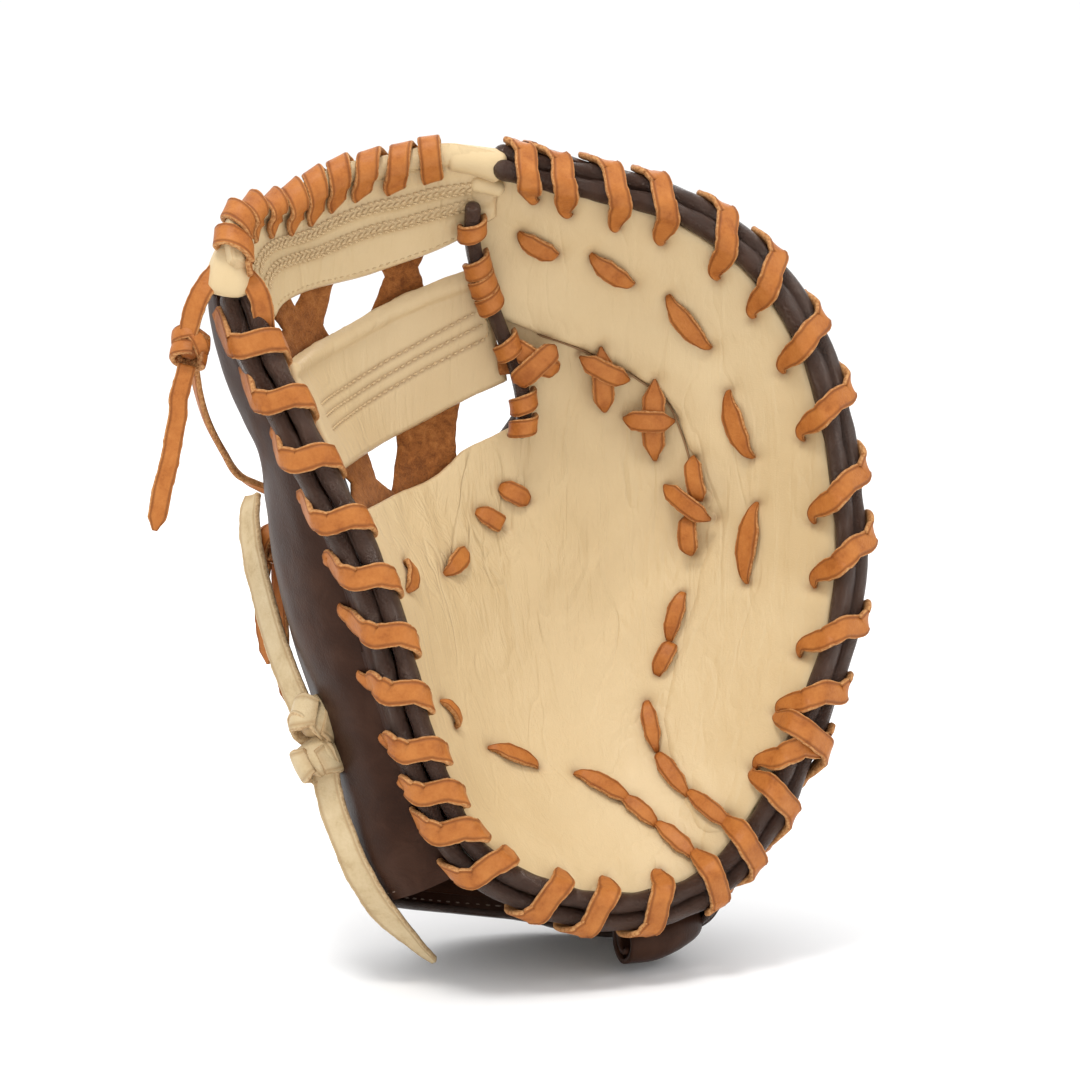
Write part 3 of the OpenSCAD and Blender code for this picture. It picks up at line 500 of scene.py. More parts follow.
def fromOutline(outline, spacing):
    # Triangles inside an outline, with the numbers of the points that lie on it
    low, high = outline.min(0), outline.max(0)
    rows = np.arange(low[1], high[1], spacing * 0.87)
    columns = np.arange(low[0], high[0], spacing)
    lattice = np.array([(x + (k % 2) * spacing / 2, z) for k, z in enumerate(rows) for x in columns])
    lattice = lattice[insidePolygon(lattice, outline)]
    gap = np.concatenate([
        np.linalg.norm(part[:, None, :] - outline[None], axis=2).min(axis=1)
        for part in np.array_split(lattice, max(1, len(lattice) // 3000))])
    joined = np.concatenate([outline, lattice[gap > spacing * 0.62]])
    count = len(outline)
    edges = [(i, (i + 1) % count) for i in range(count)]
    found = geometry.delaunay_2d_cdt([Vector(p) for p in joined], edges, [], 1, 1e-5)
    loop = [0] * count
    for i, sources in enumerate(found[3]):
        for source in sources:
            if source < count:
                loop[source] = i
    return np.array([tuple(v) for v in found[0]]), [list(f) for f in found[2]], loop


def straightSides(corners, step):
    corners, sides = np.asarray(corners, float), []
    for start, end in zip(corners, np.roll(corners, -1, axis=0)):
        count = max(2, int(np.linalg.norm(end - start) / step) + 1)
        sides.append(mix(start, end, np.linspace(0, 1, count)[:-1, None]))
    return np.concatenate(sides)


def outlineSheet(bundle, edge, front, thick, spacing=1.2, ragged=0.0, mark=None, seed=1):
    # Closed leather sheet on the pocket: front gives mm behind the pocket's surface, thick those of leather
    edge = edge[np.linalg.norm(edge - np.roll(edge, 1, axis=0), axis=1) > 0.15]
    if ragged:
        run = unit(np.roll(edge, -1, axis=0) - np.roll(edge, 1, axis=0))
        push = ripple(edge, 2.2, seed) * 0.6 + ripple(edge, 6.5, seed + 1) * 0.7
        edge = edge + np.stack([-run[:, 1], run[:, 0]], 1) * push[:, None] * ragged
    flat, faces, loop = fromOutline(edge, spacing)
    lift = front(flat)
    depth = thick(flat) if callable(thick) else thick
    fore, rear = offBowl(flat, lift), offBowl(flat, lift + depth)
    rimFore, rimRear = fore[loop], rear[loop]
    wall = rimRear - rimFore
    run = unit(np.roll(rimFore, -1, axis=0) - np.roll(rimFore, 1, axis=0))
    out = unit(np.cross(run, wall))
    if np.sum(out * (rimFore - fore.mean(0))) < 0:
        out = -out
    middle = (rimFore + rimRear) / 2 + out * np.linalg.norm(wall, axis=1)[:, None] * 0.22
    fore[loop] = rimFore + wall * 0.2
    rear[loop] = rimRear - wall * 0.2
    count, ring = len(flat), len(loop)
    back = [[i + count for i in reversed(f)] for f in faces]
    walls = []
    for k in range(ring):
        m = (k + 1) % ring
        walls.append([loop[k], loop[m], 2 * count + m, 2 * count + k])
        walls.append([2 * count + k, 2 * count + m, loop[m] + count, loop[k] + count])
    marks = {key: np.concatenate([values, values, values[loop]])
             for key, values in (mark(flat) if mark else {}).items()}
    bundle.add(np.concatenate([fore, rear, middle]), faces + back + walls, marks,
               slot=[0] * (len(faces) * 2) + [1] * len(walls))


def curved(*sides, step=1.0):  # closed outline of smooth sides
    return np.concatenate([evenly(side, step)[0][:-1] for side in sides])


def sweep(centres, across, up, section, closed=True):
    # Points and faces of a section carried along a line; section is (ring points, 2) or one per ring
    section = np.broadcast_to(section, (len(centres),) + np.shape(section)[-2:])
    points = centres[:, None] + across[:, None] * section[..., :1] + up[:, None] * section[..., 1:]
    rings, size = points.shape[:2]
    faces = [[i * size + k, (i + 1) * size + k, (i + 1) * size + (k + 1) % size, i * size + (k + 1) % size]
             for i in range(rings - 1) for k in range(size)]
    if closed:
        faces += [list(range(size)), list(range((rings - 1) * size, rings * size))[::-1]]
    return points.reshape(-1, 3), faces


def framesOf(line, facing):  # directions along, across and up from a line whose upper side faces a way
    run = unit(np.gradient(line, axis=0))
    across = unit(np.cross(run, facing))
    return run, across, unit(np.cross(across, run))


def runUV(stops, size):
    return np.stack([np.repeat(stops / 10, size), np.tile(np.arange(size) / size, len(stops))], 1)


laceSection = {
    "across": [-1, -0.9, -0.74, -0.4, 0, 0.4, 0.74, 0.9, 1, 1.04, 0.9, 0.4, -0.4, -0.9, -1.04],
    "height": [0.6, 0.88, 1, 1.04, 1.08, 1.04, 1, 0.88, 0.6, -0.15, -0.85, -1, -1, -0.85, -0.15],
    "cut": [0.62, 0.38, 0.2, 0, 0, 0, 0.2, 0.38, 0.62, 1, 1, 1, 1, 1, 1]}


def strip(bundle, path, facing, width, thick, ends=(1, 1), twist=(0, 0), curl=0.05, point=(0, 0), seed=0,
          step=0.7):
    # Flat lace along a path: narrowed and curled where it enters a hole, pointed over the lengths in point
    table = np.concatenate([np.asarray(path, float), np.broadcast_to(facing, np.shape(path))], axis=1)
    table, stops = evenly(table, step)
    line = table[:, :3]
    run, across, up = framesOf(line, unit(table[:, 3:]))
    left, right = stops, stops[-1] - stops
    squeeze = ends[0] * hump(left, 4) + ends[1] * hump(right, 4)
    turn = np.radians(twist[0] * hump(left, 6) + twist[1] * hump(right, 6))[:, None]
    across, up = across * np.cos(turn) + up * np.sin(turn), up * np.cos(turn) - across * np.sin(turn)
    half = width / 2 * (1 - 0.4 * squeeze) * (1 + 0.035 * ripple(stops[:, None], 7, seed))
    for length, gap in zip(point, (left, right)):
        if length:
            half = half * np.clip(0.2 + 0.8 * gap / length, 0.2, 1)
    c, h = np.array(laceSection["across"]), np.array(laceSection["height"])
    wobble = np.stack([ripple(stops[:, None], 1.7, seed + k) * 0.6
                       + ripple(stops[:, None], 4.5, seed + 9 + k) * 0.6
                       for k in range(4)], 1)
    edge = np.where(np.abs(c) > 0.95, 1, np.where(np.abs(c) > 0.85, 0.5, 0))
    which = np.where(c < 0, 0, 1)
    sideways = half[:, None] * c + wobble[:, which] * edge * np.sign(c) * 0.28
    upward = thick / 2 * h + wobble[:, which + 2] * edge * 0.16
    upward = upward + (curl + 0.22 * squeeze)[:, None] * half[:, None] * np.abs(c) ** 2
    points, faces = sweep(line, across, up, np.stack([sideways, upward], -1))
    # pinch marks the ends that dive into holes; the lace paint darkens them there as painted shade.
    pinch = np.clip(hump(left, 2.2) * ends[0] + hump(right, 2.2) * ends[1], 0, 1)
    marks = {"cut": np.tile(laceSection["cut"], len(line)), "pinch": np.repeat(pinch, len(c))}
    bundle.add(points, faces, marks, runUV(stops, len(c)))
    return line


def tube(bundle, path, radius, facing=(0, -1, 0), sides=16, step=1.0, crease=0.0, seed=0, closeEnds=3.0,
         mark=None):
    # Round roll along a path with rounded ends and fine creases; radius is mm or a function of the share
    line, stops = evenly(path, step)
    run, across, up = framesOf(line, np.broadcast_to(facing, (len(line), 3)))
    size = radius(stops / stops[-1]) if callable(radius) else np.full(len(stops), float(radius))
    ends = np.minimum(stops, stops[-1] - stops) / closeEnds
    size = size * np.sqrt(np.clip(1 - (1 - np.clip(ends, 0.02, 1)) ** 2, 0.02, 1))
    turns = np.arange(sides) / sides * 2 * np.pi
    reach = np.repeat(size[:, None], sides, axis=1)
    if crease:
        spot = np.stack(np.broadcast_arrays(
            stops[:, None] / 9, np.cos(turns)[None] * 1.3, np.sin(turns)[None] * 1.3), -1)
        wave = ripple(spot, 1, seed) + ripple(spot * [0.35, 2.2, 2.2], 1, seed + 5) * 0.8
        reach = reach * (1 + wave * crease)
    section = np.stack([reach * np.cos(turns), -reach * np.sin(turns)], -1)
    points, faces = sweep(line, across, up, section)
    marks = {key: np.full(len(points), value) for key, value in (mark or {}).items()}
    bundle.add(points, faces, marks, runUV(stops, sides))


stitch = {"stations": 5, "sides": 6}


def sew(bundle, path, normals, pitch=3.2, length=2.4, thick=0.75, lift=0.15, slot=0, tilt=0.0):
    # Row of short stitches on a surface, one every pitch
    table, _ = evenly(np.concatenate([path, np.broadcast_to(normals, np.shape(path))], 1), pitch)
    line = table[:, :3]
    run, across, up = framesOf(line, unit(table[:, 3:]))
    stations, sides = stitch["stations"], stitch["sides"]
    t = np.linspace(-1, 1, stations)
    ring = compass(np.arange(sides) / sides * 360)
    bulge = (np.sqrt(np.clip(1 - t ** 2 * 0.93, 0.02, 1)) * thick / 2)[:, None]
    tiltX, tiltY = compass(tilt)
    for k in range(len(line)):
        ahead, beside = run[k] * tiltX + across[k] * tiltY, across[k] * tiltX - run[k] * tiltY
        points, faces = sweep(line[k] + np.outer(t, ahead) * length / 2, np.tile(beside, (stations, 1)),
                              np.tile(up[k], (stations, 1)), np.stack([
                                  bulge * ring[:, 0],
                                  lift + bulge * ring[:, 1] * 0.8 - 0.25 * t[:, None] ** 2], -1))
        uv = np.stack([np.repeat(t * 0.5, sides) + k, np.tile(np.arange(sides) / sides, stations)], 1)
        bundle.add(points, faces, None, uv, slot)


print("helpers ready")

# Back leather: rows round the outside of the thumb and of the fingers, from the wrist up.
# Both sides meet behind the palm as far up as the row whose number is in foldRow.
thumbNet = np.array([
    [[-58, -43, -105], [-76, -28, -112], [-83, -8, -116], [-72, 24, -119], [-42, 43, -125], [-12, 44, -131]],
    [[-68, -44, -92], [-86, -34, -96], [-92, -14, -98], [-84, 20, -98], [-54, 41, -101], [-19, 44, -104]],
    [[-79, -49, -73], [-92, -40, -72], [-97, -18, -70], [-89, 18, -70], [-60, 38, -72], [-27, 41, -74]],
    [[-90, -55, -46], [-101, -44, -42], [-104, -20, -38], [-95, 14, -38], [-66, 33, -40], [-35, 36, -42]],
    [[-98, -59, -18], [-109, -46, -12], [-113, -22, -8], [-103, 9, -8], [-74, 28, -8], [-43, 32, -10]],
    [[-104, -62, 7], [-114, -50, 14], [-118, -24, 18], [-108, 3, 18], [-82, 20, 16], [-50, 26, 14]],
    [[-113, -65, 32], [-119, -53, 38], [-121, -30, 42], [-113, -6, 40], [-97, 0, 35], [-80, -4, 30]],
    [[-121, -66, 54], [-125, -56, 58], [-126, -38, 60], [-119, -24, 58], [-108, -28, 54], [-101, -44, 50]],
    [[-130, -66, 77], [-134, -58, 80], [-136, -42, 82], [-128, -30, 80], [-118, -34, 76], [-113, -50, 72]],
    [[-140, -63, 102], [-142, -56, 104], [-142, -44, 106], [-135, -36, 104], [-127, -40, 100], [-123, -52, 97]],
    [[-143, -60, 118], [-144, -56, 120], [-143, -49, 121], [-139, -45, 120], [-134, -48, 118],
     [-131, -54, 116]]],
    float)
fingerNet = np.array([
    [[-5, 43, -133], [14, 32, -139], [31, 14, -141], [42, -6, -139], [46, -24, -132], [40, -38, -124]],
    [[-10, 44, -105], [22, 41, -106], [52, 28, -105], [67, 0, -104], [70, -30, -102], [66, -42, -101]],
    [[-18, 41, -76], [30, 39, -76], [68, 25, -75], [82, -4, -75], [84, -36, -76], [79, -49, -77]],
    [[-27, 37, -46], [38, 35, -46], [80, 21, -46], [95, -8, -47], [97, -40, -49], [91, -55, -51]],
    [[-34, 34, -18], [44, 32, -18], [88, 16, -18], [104, -12, -20], [106, -44, -22], [100, -59, -26]],
    [[-42, 30, 8], [48, 28, 8], [92, 12, 6], [108, -16, 5], [110, -48, 3], [104, -63, 0]],
    [[-46, 24, 30], [48, 24, 34], [92, 8, 33], [108, -18, 32], [110, -50, 30], [104, -65, 26]],
    [[-14, 14, 60], [48, 16, 62], [88, 3, 62], [104, -20, 62], [106, -52, 60], [100, -67, 57]],
    [[0, 4, 82], [46, 7, 88], [80, -5, 94], [95, -26, 97], [97, -54, 95], [92, -67, 92]],
    [[-2, -8, 98], [36, -5, 112], [62, -13, 122], [74, -30, 128], [76, -54, 128], [73, -66, 125]],
    [[-9, -18, 113], [18, -17, 129], [34, -24, 143], [42, -37, 151], [43, -54, 151], [41, -63, 148]],
    [[-21, -30, 129], [-12, -28, 144], [-4, -32, 156], [0, -42, 162], [0, -54, 163], [0, -61, 161]],
    [[-36, -44, 143], [-32, -40, 153], [-28, -41, 161], [-26, -47, 167], [-25, -54, 168], [-25, -59, 167]]],
    float)
foldRow = 5
thumbFoldEnd, fingerFoldEnd = foldRow / (len(thumbNet) - 1), foldRow / (len(fingerNet) - 1)


def netPoint(net, down, across):  # down the rows 0 to 1, across a row 0 to 1
    down, across = np.broadcast_arrays(np.asarray(down, float), np.asarray(across, float))
    rows = np.stack([along(row, across.ravel()) for row in net], 0)
    last = len(net) - 1
    place = np.clip(down.ravel(), 0, 1) * last
    part = np.minimum(place.astype(int), last - 1)
    pick = np.arange(across.size)
    result = blendFour(rows[np.maximum(part - 1, 0), pick], rows[part, pick], rows[part + 1, pick],
                       rows[np.minimum(part + 2, last), pick], (place - part)[:, None])
    return result.reshape(across.shape + (3,))


def netOut(net, down, across, reach=0.01):  # direction out of the back leather
    down, across = np.asarray(down, float), np.asarray(across, float)
    return unit(np.cross(netPoint(net, down + reach, across) - netPoint(net, down - reach, across),
                         netPoint(net, down, across + reach) - netPoint(net, down, across - reach)))


def offNet(net, down, across, out):
    return netPoint(net, down, across) + netOut(net, down, across) * out


# Free ends of lace, each along its own route in mm; the loop at the thumb tip runs into the back of the thumb
cords = {
    "wristLaceTail": {
        "node": "wrist_lace_tail", "width": 12, "thick": 3.0, "facing": [-0.8, -0.6, 0.1], "farEnd": "bare",
        "paint": "pale", "point": 30, "seed": 5,
        "route": [[-106, -20, -62], [-105, -20, -72], [-103, -20, -82], [-100, -20, -92], [-97, -20, -101],
                  [-93, -19, -109], [-88, -17, -117], [-82, -14, -124], [-76, -11, -130], [-70, -8, -136],
                  [-64, -5, -141]]},
    "thumbTipTail": {
        "node": "thumb_tip_tail", "width": 7, "thick": 2.6, "facing": [-0.1, -1, 0], "farEnd": "bare",
        "paint": "lace", "point": 5, "seed": 8,
        "route": [[-160, -66, 89], [-162, -66, 83], [-164, -66, 77], [-165, -66, 70], [-167, -65, 62],
                  [-169, -65, 54], [-172, -64, 45], [-174, -63, 37], [-176, -62, 29]]},
    "thumbTipLoop": {
        "node": "thumb_tip_loop", "width": 4.2, "thick": 2.6, "facing": [-1, -0.3, 0], "farEnd": "object",
        "paint": "lace", "point": 0, "seed": 11,
        "route": [[-156, -62, 91], [-153, -54, 80], [-147, -41, 70], [-138, -26, 60], [-128, -10, 52],
                  offNet(thumbNet, 0.62, 0.62, 3.0).tolist()]},
    "backLaceTailShort": {
        "node": "back_lace_tail_short", "width": 6.6, "thick": 2.6, "facing": [-0.8, -0.6, 0], "farEnd": "bare",
        "paint": "lace", "point": 5, "seed": 14,
        "route": [[-111, 25, 20], [-113, 26, 12], [-113, 27, 4], [-113, 28, -4], [-112, 29, -12],
                  [-111, 31, -20]]},
    "backLaceTailLong": {
        "node": "back_lace_tail_long", "width": 7, "thick": 2.6, "facing": [-0.8, -0.6, 0], "farEnd": "bare",
        "paint": "lace", "point": 5, "seed": 17,
        "route": [[-105, 26, 19], [-105, 28, 10], [-105, 30, 0], [-105, 31, -10], [-105, 32, -19],
                  [-104, 33, -28], [-103, 34, -37]]}}


def makeCord(name, cord):
    bundle = Bundle()
    line = strip(bundle, cord["route"], cord["facing"], cord["width"], cord["thick"], ends=(0, 0),
                 seed=cord["seed"], point=(0, cord["point"]), curl=0.12, step=0.9)
    obj = bundle.build(name, cord["paint"])
    path = line[::2] if len(line) % 2 else np.concatenate([line[::2], line[-1:]])
    inRoom([line[0]])[0].tolist()
    cord["width"] * mm
    inRoom(path).tolist()
    move(obj, "thumb", cord["node"])


for cordName, cord in cords.items():
    makeCord(cordName, cord)
print("cords made")

# Where laces pass through the leather. A wrap has its rim angles at the palm and at the outside.
# A stitch has its two ends, x and z, and the lace's width.
wraps = {
    "thumb": [[233, 222], [223.5, 212.5], [211, 199], [196.5, 184.5], [181, 170.5], [167, 160.5], [157, 152.5],
              [149.5, 146.5], [144, 142.2]],
    "heel": [[240.5, 230], [247.5, 239], [259.5, 252.5]],
    "finger": [[269, 262], [280, 272.5], [288, 285], [297, 292], [307.5, 321.5], [307.5, 302], [321, 334],
               [321, 315.5], [336.5, 350.5], [354.5, 370], [371, 384.5], [390.5, 399], [404, 410.5], [415, 422],
               [424, 431.5], [435, 441.5], [443, 449], [451, 456.5], [456, 460.5]]}
holeShare = 0.95  # of the rim's radius
allWraps = np.array(sum(wraps.values(), []), float)
rimHoles = polar(allWraps[:, 0], holeShare)
palmStitches = {
    "thumb": [[-71, 13, -74, 2, 8.5], [-60, -41, -53, -51, 5]],
    "both": [[-49, 9, -38, 18, 8.5]],
    "finger": [[-19, 42, -8, 36, 9], [-30, 33, -20, 27, 8.5], [-37, -60, -17, -69, 7.5],
               [-2, -73, 17, -86, 8.5],
               [14, -84, 24, -96, 7.5], [24, -95, 34, -110, 7.5], [31, -47, 31, -67, 7],
               [31, -68, 38, -86, 7.5]]}
flapStitches = [[-19, 136, -4, 127, 9], [9, 126, 27, 115, 9], [40, 110, 57, 89, 9.5], [64, 72, 71, 45, 9.5],
                [72, 27, 68, -4, 9.5], [49, -5, 42, -24, 7.5], [43, -25, 36, -37, 7.5],
                [38, -84, 49, -100, 7.5]]
crotchStraps = [[18, 94, 22, 70, 9], [10, 92, 30, 82, 9], [40, 80, 42, 49, 9.5], [30, 67, 48, 64, 9.5],
                [55, 48, 57, 31, 8.5], [46, 38, 60, 23, 8.5], [53, 25, 53, 10, 8.5]]
palmSpots = [p for group in palmStitches.values() for s in group for p in (s[:2], s[2:4])]
flapSpots = [p for s in flapStitches + crotchStraps for p in (s[:2], s[2:4])]
seamLine = np.array([[41, -112], [36, -98], [34, -76], [34, -55], [41, -32], [50, -10], [55, 10], [56, 34],
                     [54, 50], [47, 70], [34, 82], [14, 93], [-6, 101], [-24, 109]], float)
leather = {"thick": 2.4, "spacing": 1.25, "palmRagged": 0.12, "flapRagged": 0.1, "proud": 2.9, "flush": 0.5,
           "edgeDip": 1.5, "gather": 0.75, "palmDimple": 1.5, "flapDimple": 1.4, "holeDimple": 1.3}


def humpAt(flat, spot, reach, squash=(1, 1)):
    return hump(np.linalg.norm((flat - spot) * squash, axis=1), reach)


def gathers(flat):  # leather drawn into folds by the rim lacing
    angle = np.degrees(np.arctan2(flat[:, 1], flat[:, 0]))
    share = np.hypot(flat[:, 0], flat[:, 1]) / around(rimRadius, angle)
    zone = np.clip((share - 0.8) / 0.16, 0, 1)
    run = np.concatenate([compass(angle, 12), share[:, None] * 1.5], 1)
    return ripple(run, 1, 3) * zone ** 2 * leather["gather"]


def creases(flat):
    corner = humpAt(flat, [-34, 30], 42)
    right = humpAt(flat, [28, 20], 40, [1, 0.6])
    heel = humpAt(flat, [0, -62], 34, [0.6, 1])
    slant = flat @ np.array([[0.82, 0.57], [-0.57, 0.82]])
    fine = (ripple(flat * [1, 0.16] + 3, 5.0, 1) * corner * 0.8
            + ripple(flat * [1, 0.24], 10, 5) * corner * 1.5)
    broad = ripple(slant * [1, 0.34], 15, 2) * right * 2.2 + ripple(slant * [1, 0.3], 7, 7) * right * 0.7
    sag = ripple(flat * [0.35, 1], 13, 4) * heel * 1.1 + ripple(flat, 46, 6) * 1.3
    return fine + broad + sag + gathers(flat) + near(flat, rimHoles, 3.0) * leather["holeDimple"]


def palmFront(flat):
    return creases(flat) + near(flat, palmSpots, 3.4) * leather["palmDimple"] + 0.1


def flapRise(flat):  # proud of the palm at the top of the seam, flush with it lower down
    gap = toLine(flat, seamLine)
    proud = leather["proud"] * (1 - eased((gap - 7) / 14))
    flush = leather["flush"] * (1 - eased((gap - 8) / 6)) - leather["edgeDip"] * (1 - eased(gap / 3))
    return mix(flush, proud, eased((flat[:, 1] - 34) / 24))


def flapFront(flat):
    return creases(flat) + near(flat, flapSpots, 3.4) * leather["flapDimple"] - flapRise(flat)


def palmMarks(flat):
    spots = palmSpots + flapSpots
    # Painted shade: the cream is darkened in the lace holes, with a faint darker ring round them.
    hole = np.maximum(near(flat, spots, 1.7), near(flat, rimHoles, 1.9))
    wide = np.maximum(near(flat, spots, 5), near(flat, rimHoles, 5))
    wrinkle = 0.18 + humpAt(flat, [-34, 30], 46) * 0.6 + humpAt(flat, [30, 10], 60) * 0.3
    return {"soil": np.clip(hole * 0.9 + wide * 0.05, 0, 1), "wrinkle": np.clip(wrinkle, 0, 1)}


def rimTurn(start, end, share=1.0):
    return polar(np.linspace(start, end, max(4, int(abs(end - start) / 4) + 1)), share)


def makePalm():
    palm, flap, shade = Bundle(), Bundle(), Bundle()
    outlineSheet(palm, curved(
        rimTurn(301, 162),
        [polar(162, 1), (-90, 33), (-66, 41), (-50, 46), (-41, 52), (-35, 57), (-22, 62), (-12, 66)],
        [(-12, 66), (-11, 74), (-15, 88), (-21, 101), (-25, 110)],
        [(-25, 110), (-4, 104.5), (16, 96.5), (37, 86), (51, 73), (58, 52), (60, 34), (59, 10), (54, -8),
         (45, -32), (38, -56), (39, -78), (44, -96), polar(301, 1)]),
        palmFront, leather["thick"], leather["spacing"], leather["palmRagged"], palmMarks)
    move(palm.build("palmLeather", "cream", "creamEdge"), "both", "palm_thumb_panel", "palm_finger_panel")
    outlineSheet(flap, curved(
        np.concatenate([[polar(296, 1)], seamLine[1:]]),
        [(-24, 109), (-28, 117), (-32, 126), (-36, 138), (-39, 150), polar(461, 1)],
        rimTurn(461, 296)),
        flapFront, leather["thick"], leather["spacing"], leather["flapRagged"], palmMarks)
    move(flap.build("fingerFlapLeather", "cream", "creamEdge"), "finger", "finger_flap_panel")
    # A thin dark tube just in front of the palm along the upper part of the seam: a painted shadow line under
    # the flap's edge.
    flat, _ = evenly(seamLine[7:-1] + [-1.1, -0.9], 2)
    tube(shade, offBowl(flat, palmFront(flat) - 0.4), 0.5, sides=8, mark={"soil": 1.4})
    move(shade.build("flapEdgeShadowLine", "cream"), "finger")


makePalm()
print("palm leather made")

# Folded strip along the web side of the thumb, two layers of low, high and lift, with a lace in the fold
thumbStrip = {"layers": ((0.958, 1.0, -0.6), (0.93, 0.972, 2.4)), "low": 163, "tip": 140, "thick": 2.0,
              "ragged": 0.15, "holes": (158, 151, 145.5), "laceWidth": 5.5, "laceThick": 2.2}


def makeThumbStrip():
    strips, lace = Bundle(), Bundle()
    start, tip = thumbStrip["low"], thumbStrip["tip"]
    # The strip is darkened round its three lace holes as painted shade.
    holes = polar(np.array(thumbStrip["holes"]), 0.97)
    for low, high, lift in thumbStrip["layers"]:
        outlineSheet(strips, curved(rimTurn(start, tip, high), polar(tip, np.array([high, low])),
                                    rimTurn(tip, start, low), polar(start, np.array([low, high]))),
                     lambda flat, lift=lift: lift + ripple(flat, 7, 4) * 0.35, thumbStrip["thick"], 1.0,
                     thumbStrip["ragged"], lambda flat: {"soil": near(flat, holes, 3.0)})
    move(strips.build("thumbInnerStrip", "cream", "creamEdge"), "thumb", "thumb_inner_panel")
    flat = polar(np.array([164, 160, 156, 152, 148, 144, 141]), 0.951)
    strip(lace, offBowl(flat, [1.6, 0.9, 1.0, 0.7, 1.0, 0.8, 1.6]), -bowlBack(flat), thumbStrip["laceWidth"],
          thumbStrip["laceThick"], seed=3)
    move(lace.build("thumbInnerLace", "lace"), "thumb")


makeThumbStrip()

# Two rolled welts side by side round the rim, each at its mm outward and backward from the rim
welt = {"radius": 4.0, "inner": np.array([3.2, -4.3]), "outer": np.array([10.24, -0.3]), "from": 138.6,
        "to": 462, "pinch": 0.15, "pinchReach": 4.5, "crease": 0.055}


def makeRoll(name, place, share, seed, *stoodFor):
    bundle = Bundle()
    path = byRim(np.linspace(welt["from"], welt["to"], 170), *place)
    fine = np.linspace(0, 1, 900)
    at = mix(welt["from"], welt["to"], fine)
    pinch = sum(hump(np.radians(at - angle) * around(rimRadius, angle), welt["pinchReach"])
                for angle in mix(allWraps[:, 0], allWraps[:, 1], share))
    swell = 1.05 - welt["pinch"] * np.clip(pinch, 0, 1) + ripple(fine[:, None] * 40, 1, seed) * 0.035
    tube(bundle, path, lambda share: welt["radius"] * np.interp(share, fine, swell), sides=22,
         crease=welt["crease"], seed=seed, closeEnds=5)
    move(bundle.build(name, "roll"), "both", *stoodFor)


makeRoll("innerRimRoll", welt["inner"], 0.35, 4, "thumb_welt_inner", "finger_welt_inner")
makeRoll("outerRimRoll", welt["outer"], 0.75, 8, "thumb_welt_outer", "finger_welt_outer")
print("rim rolls made")

backSkin = {"thick": 2.4, "edge": 0.7, "waves": 0.9, "grain": 0.22, "tuckOut": 0.5, "tuckBack": 1.5,
            "bridge": 6}


def onPanel(side, angle, inward, lift):
    # Point on the back leather beside the rim at an angle, a share inward from the rim, lift mm out of it
    net, across = (thumbNet, inward) if side == "thumb" else (fingerNet, 1 - inward)
    downs = np.linspace(0, 1, 200)
    edge = netPoint(net, downs, across)
    seen = np.mod(np.degrees(np.arctan2(edge[:, 2], edge[:, 0])), 360)
    if side == "thumb":
        down = np.interp(-angle, -seen, downs)
    else:
        down = np.interp(angle, np.where(seen < 180, seen + 360, seen), downs)
    return offNet(net, down, across, lift + backSkin["thick"]), netOut(net, down, across)


def tuckedSkin(net, foldEnd, below, above, columns, rimFirst, seed):
    # Grid of back leather whose rim edge is tucked under the outer roll
    downs = np.concatenate([np.linspace(0, foldEnd, below), np.linspace(foldEnd, 1, above)[1:]])
    grid = netPoint(net, downs[:, None], np.linspace(0, 1, columns)[None])
    edge = grid[:, 0] if rimFirst else grid[:, -1]
    angle = np.degrees(np.arctan2(edge[:, 2], edge[:, 0]))
    under = byRim(angle, np.full(len(edge), welt["outer"][0] + backSkin["tuckOut"]),
                  welt["outer"][1] + backSkin["tuckBack"])
    middle = (edge + under) / 2 + rimOut(angle) * 1.2
    tuck = np.stack([under, mix(under, middle, 0.5), middle, mix(middle, edge, 0.5)], 1)
    points = np.concatenate([tuck, grid] if rimFirst else [grid, tuck[:, ::-1]], 1)
    out = unit(np.cross(np.gradient(points, axis=0), np.gradient(points, axis=1)))
    wave = (ripple(points * [1, 1, 0.5], 22, seed) * backSkin["waves"]
            + ripple(points, 8, seed + 1) * backSkin["grain"])
    return points + out * (backSkin["thick"] + wave)[..., None]


def makeBack():
    bundle, below = Bundle(), 71
    left = tuckedSkin(thumbNet, thumbFoldEnd, below, 71, 64, True, 1)
    right = tuckedSkin(fingerNet, fingerFoldEnd, below, 91, 76, False, 5)
    bridge = [mix(left[:below, -1], right[:below, 0], share)
              for share in np.linspace(0, 1, backSkin["bridge"])]
    for grid in (left, right, np.stack(bridge, 1)):
        bundle.add(grid.reshape(-1, 3), gridFaces(*grid.shape[:2]))
    obj = bundle.build("backLeather", "dark", "dark", weld=True)
    centre = Vector(inRoom([[0, -10, 20]])[0])
    if sum((f.center - centre).dot(f.normal) * f.area for f in obj.data.polygons) < 0:
        obj.data.flip_normals()
    bpy.context.view_layer.objects.active = obj
    solid = obj.modifiers.new("thickness", "SOLIDIFY")
    solid.thickness, solid.offset = backSkin["thick"] * mm, -1
    bpy.ops.object.modifier_apply(modifier=solid.name)
    bevel = obj.modifiers.new("edge", "BEVEL")
    bevel.width, bevel.segments = backSkin["edge"] * mm, 2
    bevel.limit_method, bevel.angle_limit = "ANGLE", math.radians(50)
    bpy.ops.object.modifier_apply(modifier=bevel.name)
    obj.data.shade_smooth()
    move(obj, "both", "thumb_back_panel", "finger_back_panel")


makeBack()
print("back leather made")

